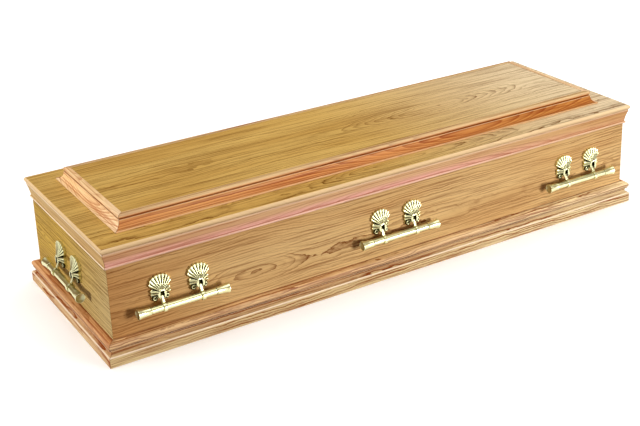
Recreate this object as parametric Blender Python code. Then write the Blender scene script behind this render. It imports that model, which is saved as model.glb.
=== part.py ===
"""A rectangular oak coffin, in metres.

Four mitred walls stand round a bottom board. A plinth moulding runs round the foot and a slim
moulding round the rim. A loose lid rests on the walls: a flat board with a raised centre panel in
a heavy mitred frame. Eight swinging bar handles hang on pairs of cast shell plates.

The origin is on the floor under the middle of the coffin. X runs along it, Y across it, Z up.
"""

import math

import bmesh
import bpy
from mathutils import Matrix, Vector

# Fits
GAP = 0.0003               # between pieces that touch
TRUNNION_CLEARANCE = 0.0004  # between an arm's trunnion and its hole, on the radius
SLOT_CLEARANCE = 0.0012      # between an arm's eye and the walls and floor of its slot

# Box
INSIDE_LENGTH = 1.880
INSIDE_WIDTH = 0.562
WALL = 0.018
WALL_HEIGHT = 0.3440
BOTTOM_BOARD = 0.018

# Plinth moulding round the foot
PLINTH_REACH = 0.0245
PLINTH_HEIGHT = 0.0755
PLINTH_FASCIA = 0.0320
PLINTH_LEDGE = 0.0090
PLINTH_LEDGE_FALL = 0.0030
PLINTH_BEAD_RADIUS = 0.0105
PLINTH_BEAD_SETBACK = 0.0020   # the bead's face behind the fascia's
PLINTH_COVE_DEPTH = 0.0095
PLINTH_EASE = 0.0020           # the fascia's eased top edge, and the fillet above the cove

# Moulding round the rim
RIM_REACH = 0.0110
RIM_HEIGHT = 0.0500
RIM_LIP = 0.0060
RIM_WAIST = 0.0030
RIM_COVE_TURN = 1.6            # how quickly the cove falls back under its lip
RIM_NUB_RADIUS = 0.0035

# Lid
LID_OVERHANG = 0.0160
LID_BOARD = 0.0162
LID_EDGE_RADIUS = 0.0078
LID_UNDERCUT = 0.0060
FRAME_SETBACK = 0.0780
FRAME_WIDTH = 0.0370
FRAME_HEIGHT = 0.0430
FRAME_LIP = 0.0045
FRAME_QUIRK = 0.0030           # the small steps at the foot and the head of the cove
FRAME_BEAD_RADIUS = 0.0058
FRAME_BEAD_PROUD = 0.0026      # how far the bead stands in from the cove's head
FRAME_LEDGE = 0.0100           # what the raised panel rests on
LID_PANEL = 0.0090
LID_PANEL_DROP = 0.0010

# Handles
SIDE_HANDLE_SPACING = 0.7470
SHELL_SPACING = 0.1200
HINGE_HEIGHT = 0.1800
HINGE_STANDOFF = 0.0115
ARM_REACH = 0.0399
ARM_REST_DEG = 25.2            # outwards from hanging straight down
SHELL_CREST = 0.0580           # from the hinge up to the top of the fan
SHELL_FLUTES = 9
SHELL_FAN_DEG = 52.0           # half the fan's spread
SHELL_SHOULDER = 0.0420        # reach of the fan's last flute
SHELL_CROWN_TURN = 3.0         # how late the fan's top falls to its shoulder
SHELL_SCALLOP = 0.0030
SHELL_WAIST = 0.0280
SHELL_EDGE = 0.0065
SHELL_BELLY = 0.0115
SHELL_FLUTE_DEPTH = 0.0032
SHELL_EDGE_FLUTE_DEPTH = 0.0022
SCROLL_RADIUS = 0.0090
SCROLL_REACH = 0.0222          # from the hinge to the middle of the scroll
SCROLL_DEG = 126.0
SCROLL_HEIGHT = 0.0105
SCROLL_STEPS = (-0.85, -0.3, 0.3, 0.85)  # the outline's points, as shares of the half scroll
SHELL_FOOT = 0.0135
BOSS_RADIUS = 0.0128
BOSS_HEIGHT = 0.0215
SLOT_TOP = 0.0112
EYE_RADIUS = 0.0045
EYE_WIDTH = 0.0084
TRUNNION_RADIUS = 0.0022
TRUNNION_LENGTH = 0.0030       # beyond each side of the eye, past the slot's clearance
STRAP_THICKNESS = 0.0060
RING_WALL = 0.0032
RING_WIDTH = 0.0116
BAR_LENGTH = 0.2860
BAR_RADIUS = 0.0100
BAR_END_LENGTH = 0.0400
BAR_COLLAR_RADIUS = 0.0114
BAR_NECK_RADIUS = 0.0124        # where the flare starts
BAR_FLARE_LENGTH = 0.0180
BAR_MOUTH_RADIUS = 0.0152
BAR_LIP = 0.0016
BAR_DISH_RADIUS = 0.0090
BAR_DISH_DEPTH = 0.0040

# Facets of the round parts
BAR_SIDES = 10
EYE_FACETS = 4
RING_FACETS = 8
TRUNNION_SIDES = 5
BEAD_FACETS = 5
NUB_FACETS = 3
COVE_FACETS = 5
SMOOTH_DEG = 50.0

# Where the rounded edges start and end, in degrees from straight out towards up
PLINTH_BEAD_ARC = (75, -80)
RIM_NUB_ARC = (60, -80)
LID_EDGE_ARC = (-60, 90)
FRAME_BEAD_ARC = (-30, 90)
EYE_ARC = (-35, 215)

# What follows from the sizes above
HALF_LENGTH = INSIDE_LENGTH / 2 + WALL
HALF_WIDTH = INSIDE_WIDTH / 2 + WALL
LID_BOTTOM = WALL_HEIGHT + GAP
LID_TOP = LID_BOTTOM + LID_BOARD
LID_HALF_LENGTH = HALF_LENGTH + LID_OVERHANG
LID_HALF_WIDTH = HALF_WIDTH + LID_OVERHANG
FRAME_BOTTOM = LID_TOP + GAP
FRAME_TOP = LID_TOP + FRAME_HEIGHT
SLOT_HALF_WIDTH = EYE_WIDTH / 2 + SLOT_CLEARANCE
SIDES = {"front": 0.0, "right": 90.0, "back": 180.0, "left": 270.0}  # each side's turn about Z


def clear_scene():
    """Empties the scene of objects."""
    for thing in list(bpy.data.objects):
        bpy.data.objects.remove(thing, do_unlink=True)


def material(name, colour, roughness, metallic=0.0):
    """A plain surface with its colour (linear RGB), roughness and metallic value."""
    made = bpy.data.materials.new(name)
    made.use_nodes = True
    shader = made.node_tree.nodes["Principled BSDF"]
    shader.inputs["Base Color"].default_value = (*colour, 1.0)
    shader.inputs["Roughness"].default_value = roughness
    shader.inputs["Metallic"].default_value = metallic
    made.diffuse_color = (*colour, 1.0)
    return made


def add_object(name, mesh, surface, matrix=None, parent=None):
    """Links a mesh into the scene as a named object."""
    thing = bpy.data.objects.new(name, mesh)
    bpy.context.scene.collection.objects.link(thing)
    if not mesh.materials:
        mesh.materials.append(surface)
    if parent is not None:
        thing.parent = parent
    if matrix is not None:
        thing.matrix_local = matrix
    return thing


def finish_mesh(bm, name, smooth=False):
    """Turns a bmesh into a mesh whose faces point outwards."""
    bmesh.ops.recalc_face_normals(bm, faces=bm.faces)
    mesh = bpy.data.meshes.new(name)
    bm.to_mesh(mesh)
    bm.free()
    if smooth:
        mesh.shade_smooth()
        mesh.set_sharp_from_angle(angle=math.radians(SMOOTH_DEG))
    return mesh


def arc(centre, radius, span_deg, steps):
    """Points along an arc; its start and end angles are measured from +out towards +up."""
    start, end = span_deg
    points = []
    for step in range(steps + 1):
        angle = math.radians(start + (end - start) * step / steps)
        points.append((centre[0] + radius * math.cos(angle), centre[1] + radius * math.sin(angle)))
    return points


# Mitred runs: a profile of (out, up) points carried along one side of a rectangle.

def mitred_run(name, profile, half_length, half_width, side):
    """One side of a mitred rectangle. `out` is measured outwards from the rectangle's edge."""
    end_gap = GAP / math.sqrt(2.0)
    along = half_length if side in ("front", "back") else half_width
    across = half_width if side in ("front", "back") else half_length
    rotate = Matrix.Rotation(math.radians(SIDES[side]), 4, "Z")
    bm = bmesh.new()
    rings = []
    for sign in (-1.0, 1.0):
        ring = []
        for out, up in profile:
            place = Vector((sign * (along + out - end_gap), -(across + out), up))
            ring.append(bm.verts.new(rotate @ place))
        rings.append(ring)
    count = len(profile)
    for index in range(count):
        after = (index + 1) % count
        bm.faces.new((rings[0][index], rings[0][after], rings[1][after], rings[1][index]))
    bm.faces.new(rings[0])
    bm.faces.new(list(reversed(rings[1])))
    return finish_mesh(bm, name)


def wall_profile():
    """A plain board on edge, its outer face on the rectangle."""
    return [(0.0, 0.0), (0.0, WALL_HEIGHT), (-WALL, WALL_HEIGHT), (-WALL, 0.0)]


def plinth_profile():
    """Sloped ledge, rounded bead, cove and upright fascia, from the top down to the floor."""
    bead_out = PLINTH_REACH - PLINTH_BEAD_SETBACK - PLINTH_BEAD_RADIUS
    bead_up = PLINTH_HEIGHT - PLINTH_LEDGE_FALL - PLINTH_BEAD_RADIUS
    cove_top = bead_up - PLINTH_BEAD_RADIUS
    cove_foot = PLINTH_FASCIA + PLINTH_EASE
    points = [(GAP, 0.0), (GAP, PLINTH_HEIGHT), (PLINTH_LEDGE, PLINTH_HEIGHT - PLINTH_LEDGE_FALL / 2)]
    points += arc((bead_out, bead_up), PLINTH_BEAD_RADIUS, PLINTH_BEAD_ARC, BEAD_FACETS)
    cove_out = PLINTH_REACH - PLINTH_EASE
    half = (cove_top - cove_foot) / 2
    for step in range(1, COVE_FACETS):
        angle = math.pi * step / COVE_FACETS
        up = cove_foot + half * (1 + math.cos(angle))
        points.append((cove_out - PLINTH_COVE_DEPTH * math.sin(angle), up))
    points += [(cove_out, cove_foot), (PLINTH_REACH, PLINTH_FASCIA), (PLINTH_REACH, 0.0)]
    return points


def rim_profile():
    """Lip, long cove and a small nub at the foot."""
    top = WALL_HEIGHT
    foot = top - RIM_HEIGHT
    nub = (RIM_WAIST, foot + RIM_NUB_RADIUS)
    cove_top = top - RIM_LIP
    cove_foot = nub[1] + RIM_NUB_RADIUS
    points = [(GAP, foot), (GAP, top), (RIM_REACH, top), (RIM_REACH, cove_top)]
    for step in range(1, COVE_FACETS + 1):
        fallen = math.sin(quarter(step, COVE_FACETS))
        out = RIM_WAIST + (RIM_REACH - RIM_WAIST) * (1 - fallen) ** RIM_COVE_TURN
        points.append((out, cove_top - (cove_top - cove_foot) * fallen))
    points += arc(nub, RIM_NUB_RADIUS, RIM_NUB_ARC, NUB_FACETS)
    return points


def frame_profile():
    """The lid's raised frame: lip, rising cove, upright quirk and rounded bead, with a ledge inside."""
    foot = FRAME_BOTTOM
    edge = -FRAME_SETBACK
    inner = edge - FRAME_WIDTH
    bead = (inner + 2 * FRAME_BEAD_RADIUS, FRAME_TOP - FRAME_BEAD_RADIUS)
    head = (bead[0] + FRAME_BEAD_PROUD, bead[1] - FRAME_BEAD_RADIUS)
    start = (edge - FRAME_QUIRK, foot + FRAME_LIP)
    run = start[0] - FRAME_QUIRK - head[0]
    rise = head[1] - FRAME_QUIRK - start[1]
    points = [(edge, foot), (edge, start[1])]
    for step in range(COVE_FACETS + 1):
        angle = quarter(step, COVE_FACETS)
        points.append((start[0] - run * math.sin(angle), start[1] + rise * (1 - math.cos(angle))))
    points += [(head[0], head[1] - FRAME_QUIRK), head]
    points += arc(bead, FRAME_BEAD_RADIUS, FRAME_BEAD_ARC, BEAD_FACETS - 1)
    ledge = FRAME_TOP - LID_PANEL_DROP - LID_PANEL - GAP
    points += [(inner, FRAME_TOP), (inner, ledge), (inner - FRAME_LEDGE, ledge), (inner - FRAME_LEDGE, foot)]
    return points


def quarter(step, steps):
    """The angle of one step of a quarter turn."""
    return math.pi / 2 * step / steps


def build_runs(kind, profile, half_length, half_width, surface, names=None):
    """Four mitred runs round a rectangle, one object for each side."""
    for side in SIDES:
        name = names[side] if names else f"{kind}_{side}"
        add_object(name, mitred_run(name, profile, half_length, half_width, side), surface)


# Boards

def board(name, half_length, half_width, bottom, top, surface):
    """A flat rectangular board with square edges."""
    bm = bmesh.new()
    bmesh.ops.create_cube(bm, size=1.0)
    bmesh.ops.scale(bm, vec=(2 * half_length, 2 * half_width, top - bottom), verts=bm.verts)
    bmesh.ops.translate(bm, vec=(0, 0, (bottom + top) / 2), verts=bm.verts)
    add_object(name, finish_mesh(bm, name), surface)


def lid_board(surface):
    """The lid's board: each height of its rounded edge is a rectangle, and they are bridged."""
    middle = LID_TOP - LID_EDGE_RADIUS
    edge = arc((-LID_EDGE_RADIUS, middle), LID_EDGE_RADIUS, LID_EDGE_ARC, BEAD_FACETS)
    edge.insert(0, (-LID_UNDERCUT, LID_BOTTOM))
    bm = bmesh.new()
    loops = []
    for out, up in edge:
        x = LID_HALF_LENGTH + out
        y = LID_HALF_WIDTH + out
        loops.append([bm.verts.new((sx * x, sy * y, up)) for sx, sy in ((-1, -1), (1, -1), (1, 1), (-1, 1))])
    for lower, upper in zip(loops, loops[1:]):
        for index in range(4):
            after = (index + 1) % 4
            bm.faces.new((lower[index], lower[after], upper[after], upper[index]))
    bm.faces.new(list(reversed(loops[0])))
    bm.faces.new(loops[-1])
    add_object("lid_board", finish_mesh(bm, "lid_board"), surface)


# Handles. A handle is modelled facing -Y with the wall's outer face at y = 0. The hinge line is its
# origin, so a plate reaches back to y = HINGE_STANDOFF.

def fan_place(turn):
    """Where a turn in degrees falls on the half fan: its share, and 1 on a ridge or 0 in a valley."""
    share = turn / SHELL_FAN_DEG
    return share, abs(math.cos(math.pi * share * SHELL_FLUTES / 2))


def scroll_outline(turn):
    """The scroll's round edge as a distance from the hinge, or None beside it."""
    off = math.radians(turn - SCROLL_DEG)
    inside = SCROLL_RADIUS ** 2 - (SCROLL_REACH * math.sin(off)) ** 2
    return SCROLL_REACH * math.cos(off) + math.sqrt(inside) if inside > 0 else None


def shell_radius(turn):
    """The plate's outline as a distance from the hinge; a turn of 0 degrees points up."""
    scroll = scroll_outline(turn)
    if turn <= SHELL_FAN_DEG:
        share, ridge = fan_place(turn)
        crown = SHELL_CREST - (SHELL_CREST - SHELL_SHOULDER) * share ** SHELL_CROWN_TURN
        return crown - SHELL_SCALLOP * (1 - ridge)
    if scroll is not None:
        return scroll
    return SHELL_WAIST if turn < SCROLL_DEG else SHELL_FOOT


def shell_turns():
    """The outline's turns from the top: every ridge and valley, the waist, the scroll and the foot."""
    fan = [SHELL_FAN_DEG * step / SHELL_FLUTES for step in range(SHELL_FLUTES + 1)]
    spread = math.degrees(math.asin(SCROLL_RADIUS / SCROLL_REACH))
    waist = (SHELL_FAN_DEG + SCROLL_DEG - spread) / 2
    scroll = [SCROLL_DEG + spread * share for share in SCROLL_STEPS]
    return fan + [waist] + scroll + [180.0]


def shell_point(turn, side, place, back):
    """One point of the plate's front. place is 0 on the boss, 1 half way out and 2 on the edge."""
    reach = shell_radius(turn)
    on_fan = turn <= SHELL_FAN_DEG
    on_scroll = scroll_outline(turn) is not None
    ridge = fan_place(turn)[1] if on_fan else 0.0
    if place == 0:
        reach, height = BOSS_RADIUS, BOSS_HEIGHT
    elif place == 1:
        reach = SCROLL_REACH if on_scroll else (BOSS_RADIUS + reach) / 2
        height = SCROLL_HEIGHT if on_scroll else SHELL_BELLY + SHELL_FLUTE_DEPTH * ridge
    else:
        height = SHELL_EDGE + SHELL_EDGE_FLUTE_DEPTH * ridge
    angle = math.radians(turn) * side
    return Vector((reach * math.sin(angle), back - height, reach * math.cos(angle)))


def build_shell_mesh(surface):
    """A cast shell plate with its flutes, scrolls, boss, slot and trunnion holes."""
    back = HINGE_STANDOFF - GAP
    right = shell_turns()
    around = [(turn, -1.0) for turn in reversed(right[1:-1])] + [(turn, 1.0) for turn in right]
    bm = bmesh.new()
    rings = []
    for place in range(3):
        rings.append([bm.verts.new(shell_point(turn, side, place, back)) for turn, side in around])
    rings.append([bm.verts.new((v.co.x, back, v.co.z)) for v in rings[-1]])
    count = len(around)
    for inner, outer in zip(rings, rings[1:]):
        for index in range(count):
            after = (index + 1) % count
            bm.faces.new((inner[index], inner[after], outer[after], outer[index]))
    bm.faces.new(rings[0])
    bm.faces.new(rings[-1])
    body = add_object("shell_body", finish_mesh(bm, "shell_body"), surface)
    return combine(body, [slot_cutter(), trunnion_cutter()], "DIFFERENCE", "shell")


def slot_cutter():
    """The slot that the arm's eye swings in, open in front and below."""
    floor = EYE_RADIUS + SLOT_CLEARANCE
    front = -2 * BOSS_HEIGHT
    foot = -2 * SHELL_FOOT
    bm = bmesh.new()
    bmesh.ops.create_cube(bm, size=1.0)
    bmesh.ops.scale(bm, vec=(2 * SLOT_HALF_WIDTH, floor - front, SLOT_TOP - foot), verts=bm.verts)
    bmesh.ops.translate(bm, vec=(0, (floor + front) / 2, (SLOT_TOP + foot) / 2), verts=bm.verts)
    return cutter("slot", bm)


def trunnion_cutter():
    """The hole across the slot for the arm's two trunnions."""
    radius = (TRUNNION_RADIUS + TRUNNION_CLEARANCE) / math.cos(math.pi / TRUNNION_SIDES)
    bm = bmesh.new()
    cylinder_along_x(bm, radius, 2 * (trunnion_end() + TRUNNION_CLEARANCE), TRUNNION_SIDES)
    return cutter("trunnion_hole", bm)


def trunnion_end():
    """How far a trunnion reaches from the arm's middle."""
    return SLOT_HALF_WIDTH + TRUNNION_LENGTH


def cylinder_along_x(bm, radius, length, sides):
    """A closed prism of regular section whose axis is X."""
    made = bmesh.ops.create_cone(
        bm, cap_ends=True, segments=sides, radius1=radius, radius2=radius, depth=length
    )
    turn = Matrix.Rotation(math.pi / 2, 3, "Y") @ Matrix.Rotation(math.pi / sides, 3, "Z")
    bmesh.ops.rotate(bm, verts=made["verts"], cent=(0, 0, 0), matrix=turn)


def cutter(name, bm):
    """A hidden shape that a Boolean cuts or adds with."""
    thing = bpy.data.objects.new(name, finish_mesh(bm, name))
    bpy.context.scene.collection.objects.link(thing)
    thing.hide_render = True
    thing.display_type = "WIRE"
    return thing


def combine(body, tools, operation, name):
    """Applies a Boolean with each tool and returns the result as a mesh."""
    for tool in tools:
        step = body.modifiers.new(tool.name, "BOOLEAN")
        step.operation = operation
        step.solver = "EXACT"
        step.object = tool
    bpy.context.view_layer.update()
    evaluated = body.evaluated_get(bpy.context.evaluated_depsgraph_get())
    mesh = bpy.data.meshes.new_from_object(evaluated)
    mesh.name = name
    for thing in [body] + tools:
        bpy.data.objects.remove(thing, do_unlink=True)
    mesh.shade_smooth()
    mesh.set_sharp_from_angle(angle=math.radians(SMOOTH_DEG))
    return mesh


def arm_outline():
    """The arm seen from its side: (out, up) from the hinge, hanging straight down, with the ring's hole."""
    centre = (0.0, -ARM_REACH)
    hole_radius = BAR_RADIUS + GAP / math.cos(math.pi / BAR_SIDES)
    ring_radius = hole_radius + RING_WALL
    half = STRAP_THICKNESS / 2
    neck = math.degrees(math.asin(half / ring_radius))
    outline = arc((0.0, 0.0), EYE_RADIUS, EYE_ARC, EYE_FACETS)
    outline += arc(centre, ring_radius, (90 + neck, 450 - neck), RING_FACETS)
    hole = arc(centre, hole_radius, (0, 360), BAR_SIDES)[:-1]
    return outline, hole


def build_arm_mesh(surface):
    """A cast arm: an eye with trunnions, a strap that widens and a ring round the bar."""
    outline, hole = arm_outline()
    bm = bmesh.new()
    edges = []
    for loop in (outline, hole):
        made = [bm.verts.new((0.0, -out, up)) for out, up in loop]
        edges += [bm.edges.new((a, b)) for a, b in zip(made, made[1:] + made[:1])]
    bmesh.ops.triangle_fill(bm, use_beauty=True, use_dissolve=False, edges=edges)
    extruded = bmesh.ops.extrude_face_region(bm, geom=list(bm.faces))
    far = {v for v in extruded["geom"] if isinstance(v, bmesh.types.BMVert)}
    for vert in bm.verts:
        share = min(1.0, max(0.0, -vert.co.z / (ARM_REACH - BAR_RADIUS - RING_WALL)))
        half = (EYE_WIDTH + (RING_WIDTH - EYE_WIDTH) * share) / 2
        vert.co.x = half if vert in far else -half
    body = add_object("arm_body", finish_mesh(bm, "arm_body"), surface)
    pins = bmesh.new()
    cylinder_along_x(pins, TRUNNION_RADIUS, 2 * trunnion_end(), TRUNNION_SIDES)
    return combine(body, [cutter("trunnions", pins)], "UNION", "arm")


def build_bar_mesh():
    """A round bar with flared, dished ends. Its axis is X."""
    half = BAR_LENGTH / 2
    start = half - BAR_END_LENGTH
    side = [
        (start, BAR_RADIUS),
        (start + BAR_LIP, BAR_COLLAR_RADIUS),
        (half - BAR_FLARE_LENGTH, BAR_NECK_RADIUS),
        (half - BAR_LIP, BAR_MOUTH_RADIUS),
        (half, BAR_MOUTH_RADIUS - BAR_LIP),
        (half - BAR_DISH_DEPTH, BAR_DISH_RADIUS),
    ]
    profile = [(-x, radius) for x, radius in reversed(side)] + side
    bm = bmesh.new()
    rings = []
    for x, radius in profile:
        ring = []
        for index in range(BAR_SIDES):
            angle = 2 * math.pi * index / BAR_SIDES
            ring.append(bm.verts.new((x, -radius * math.cos(angle), radius * math.sin(angle))))
        rings.append(ring)
    for near, far in zip(rings, rings[1:]):
        for index in range(BAR_SIDES):
            after = (index + 1) % BAR_SIDES
            bm.faces.new((near[index], near[after], far[after], far[index]))
    bm.faces.new(rings[0])
    bm.faces.new(rings[-1])
    return finish_mesh(bm, "bar", smooth=True)


def build_handle(name, place, turn_deg, meshes, surface):
    """One handle: two shells on the wall, and a bar with two arms on the hinge line."""
    stand = Matrix.Translation(place) @ Matrix.Rotation(math.radians(turn_deg), 4, "Z")
    hinge = bpy.data.objects.new(f"hinge_{name}", None)
    bpy.context.scene.collection.objects.link(hinge)
    hinge.matrix_world = stand
    swing = Matrix.Rotation(-math.radians(ARM_REST_DEG), 4, "X")
    for letter, sign in (("a", -1.0), ("b", 1.0)):
        offset = Matrix.Translation((sign * SHELL_SPACING / 2, 0, 0))
        add_object(f"shell_{name}_{letter}", meshes["shell"], surface, offset, hinge)
        add_object(f"arm_{name}_{letter}", meshes["arm"], surface, offset @ swing, hinge)
    hang = swing @ Matrix.Translation((0, 0, -ARM_REACH))
    add_object(f"bar_{name}", meshes["bar"], surface, hang, hinge)


def handle_places():
    """Each handle's name, the middle of its hinge line and its turn about Z."""
    out = HALF_WIDTH + HINGE_STANDOFF
    end = HALF_LENGTH + HINGE_STANDOFF
    places = []
    for label, x in (("left", -SIDE_HANDLE_SPACING), ("middle", 0.0), ("right", SIDE_HANDLE_SPACING)):
        places.append((f"front_{label}", (x, -out, HINGE_HEIGHT), 0.0))
        places.append((f"back_{label}", (x, out, HINGE_HEIGHT), 180.0))
    places.append(("end_left", (-end, 0.0, HINGE_HEIGHT), -90.0))
    places.append(("end_right", (end, 0.0, HINGE_HEIGHT), 90.0))
    return places


def main():
    """Builds the coffin."""
    clear_scene()
    veneer = material("veneered_oak", (0.52, 0.32, 0.14), 0.38)
    solid_oak = material("solid_oak", (0.55, 0.29, 0.14), 0.34)
    brass = material("brass", (0.78, 0.66, 0.33), 0.16, 1.0)

    inside = (INSIDE_LENGTH / 2 - GAP, INSIDE_WIDTH / 2 - GAP)
    board("base_board", *inside, 0.0, BOTTOM_BOARD, veneer)
    walls = {
        "front": "side_panel_front",
        "back": "side_panel_back",
        "left": "end_panel_left",
        "right": "end_panel_right",
    }
    build_runs("wall", wall_profile(), HALF_LENGTH, HALF_WIDTH, veneer, walls)
    build_runs("base_moulding", plinth_profile(), HALF_LENGTH, HALF_WIDTH, solid_oak)
    build_runs("rim_moulding", rim_profile(), HALF_LENGTH, HALF_WIDTH, solid_oak)

    lid_board(veneer)
    build_runs("lid_frame", frame_profile(), LID_HALF_LENGTH, LID_HALF_WIDTH, solid_oak)
    inset = FRAME_SETBACK + FRAME_WIDTH + GAP
    panel_top = FRAME_TOP - LID_PANEL_DROP
    board(
        "lid_panel", LID_HALF_LENGTH - inset, LID_HALF_WIDTH - inset, panel_top - LID_PANEL, panel_top, veneer
    )

    meshes = {"shell": build_shell_mesh(brass), "arm": build_arm_mesh(brass), "bar": build_bar_mesh()}
    for name, place, turn in handle_places():
        build_handle(name, place, turn, meshes, brass)


main()
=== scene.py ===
"""A panelled oak coffin with a raised lid and eight brass bar handles, dressed round its frame.

Every wooden run and board and every handle casting is worked out here as a closed surface, in
metres, in the place of the plain solid that it stands for. The floor is z = 0, X runs along the
coffin, Y across it and Z up.
"""

import logging
import math
from dataclasses import dataclass, field, replace
from enum import Enum

import bmesh
import bpy
import numpy as np
from mathutils import Matrix, Vector


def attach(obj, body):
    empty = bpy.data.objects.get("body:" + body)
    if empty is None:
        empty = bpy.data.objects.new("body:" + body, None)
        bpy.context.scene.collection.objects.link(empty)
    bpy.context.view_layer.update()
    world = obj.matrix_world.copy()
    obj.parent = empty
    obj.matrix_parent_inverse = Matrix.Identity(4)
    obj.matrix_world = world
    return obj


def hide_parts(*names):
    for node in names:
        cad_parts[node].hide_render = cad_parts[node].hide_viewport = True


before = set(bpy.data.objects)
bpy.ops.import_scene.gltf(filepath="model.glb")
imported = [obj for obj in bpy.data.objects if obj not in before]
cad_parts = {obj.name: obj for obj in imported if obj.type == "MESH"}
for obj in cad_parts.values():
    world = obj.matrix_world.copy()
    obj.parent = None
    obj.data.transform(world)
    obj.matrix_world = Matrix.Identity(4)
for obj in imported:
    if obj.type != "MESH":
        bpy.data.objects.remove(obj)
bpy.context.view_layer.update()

Colour = tuple[float, float, float]
Place = tuple[float, float, float]
Pair = tuple[float, float]
Points = np.ndarray
Socket = bpy.types.NodeSocket

LOG = logging.getLogger("coffin")
ROOT_BODY = "coffin"
GAP = 0.0003          # between pieces that touch
SHARP_DEG = 34.0      # an edge that turns further than this stays crisp
EASE_DEG = 24.0       # a profile's corner that turns further than this is eased
RECESS = "recess"     # a vertex attribute: 1 deep in a hollow, 0 on a plain face, below 0 on a proud edge; it sets painted shade and painted highlights


class Side(Enum):
    """The coffin's four sides, each with its turn about Z in degrees."""

    FRONT = 0.0
    RIGHT = 90.0
    BACK = 180.0
    LEFT = 270.0

    @property
    def label(self) -> str:
        """The side's name as the nodes write it."""
        return self.name.lower()

    @property
    def is_long(self) -> bool:
        """Whether the side runs along the coffin."""
        return self in (Side.FRONT, Side.BACK)

    def place(self, points: Points) -> Points:
        """Turns points that were worked out for the front round to this side.

        Args:
            points: (..., 3) points.

        Returns:
            The same points, turned about Z.
        """
        angle = math.radians(self.value)
        turn = np.array([[math.cos(angle), -math.sin(angle), 0.0],
                         [math.sin(angle), math.cos(angle), 0.0],
                         [0.0, 0.0, 1.0]])
        return points @ turn.T


class Grain(Enum):
    """Which way the grain runs: the turn in degrees that brings it onto X."""

    ALONG = 0.0
    ACROSS = -90.0


def tone(red: int, green: int, blue: int) -> Colour:
    """A colour picked on a screen, 0 to 255, as linear light.

    Args:
        red: The screen's red.
        green: The screen's green.
        blue: The screen's blue.

    Returns:
        Linear red, green and blue from 0 to 1.
    """
    def linear(value: int) -> float:
        """One channel through the screen's curve."""
        share = value / 255.0
        return share / 12.92 if share <= 0.04045 else ((share + 0.055) / 1.055) ** 2.4

    return (linear(red), linear(green), linear(blue))


def smooth(low: float, high: float, value: Points) -> Points:
    """0 below `low`, 1 above `high` and an S between them: 3t squared less 2t cubed."""
    share = np.clip((value - low) / (high - low), 0.0, 1.0)
    return share * share * (3.0 - 2.0 * share)


# Shader nodes


class Shade:
    """A number that changes over a surface: one socket, whose arithmetic adds Math nodes."""

    def __init__(self, net: "Net", socket: Socket) -> None:
        """Keeps the socket and the net that its nodes go into."""
        self.net = net
        self.socket = socket

    def _maths(self, operation: str, *terms: "float | Shade") -> "Shade":
        """One Math node on the terms."""
        return self.net.number("ShaderNodeMath", {"operation": operation}, dict(enumerate(terms)))

    def __add__(self, other: "float | Shade") -> "Shade":
        """The sum."""
        return self._maths("ADD", self, other)

    def __sub__(self, other: "float | Shade") -> "Shade":
        """The difference."""
        return self._maths("SUBTRACT", self, other)

    def __rsub__(self, other: "float | Shade") -> "Shade":
        """The difference from a number."""
        return self._maths("SUBTRACT", other, self)

    def __mul__(self, other: "float | Shade") -> "Shade":
        """The product."""
        return self._maths("MULTIPLY", self, other)

    def __truediv__(self, other: "float | Shade") -> "Shade":
        """The quotient."""
        return self._maths("DIVIDE", self, other)

    def __pow__(self, other: "float | Shade") -> "Shade":
        """The power."""
        return self._maths("POWER", self, other)

    def __abs__(self) -> "Shade":
        """The size without its sign."""
        return self._maths("ABSOLUTE", self)

    __radd__ = __add__
    __rmul__ = __mul__

    def root(self) -> "Shade":
        """The square root."""
        return self._maths("SQRT", self)

    def fraction(self) -> "Shade":
        """What is left after the whole number."""
        return self._maths("FRACT", self)

    def whole(self) -> "Shade":
        """The whole number below."""
        return self._maths("FLOOR", self)

    def larger(self, other: "float | Shade") -> "Shade":
        """The larger of two."""
        return self._maths("MAXIMUM", self, other)

    def step(self, low: float, high: float) -> "Shade":
        """0 below `low`, 1 above `high` and an S between."""
        return self.net.number(
            "ShaderNodeMapRange",
            {"interpolation_type": "SMOOTHSTEP"},
            {"Value": self, "From Min": low, "From Max": high},
        )


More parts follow.
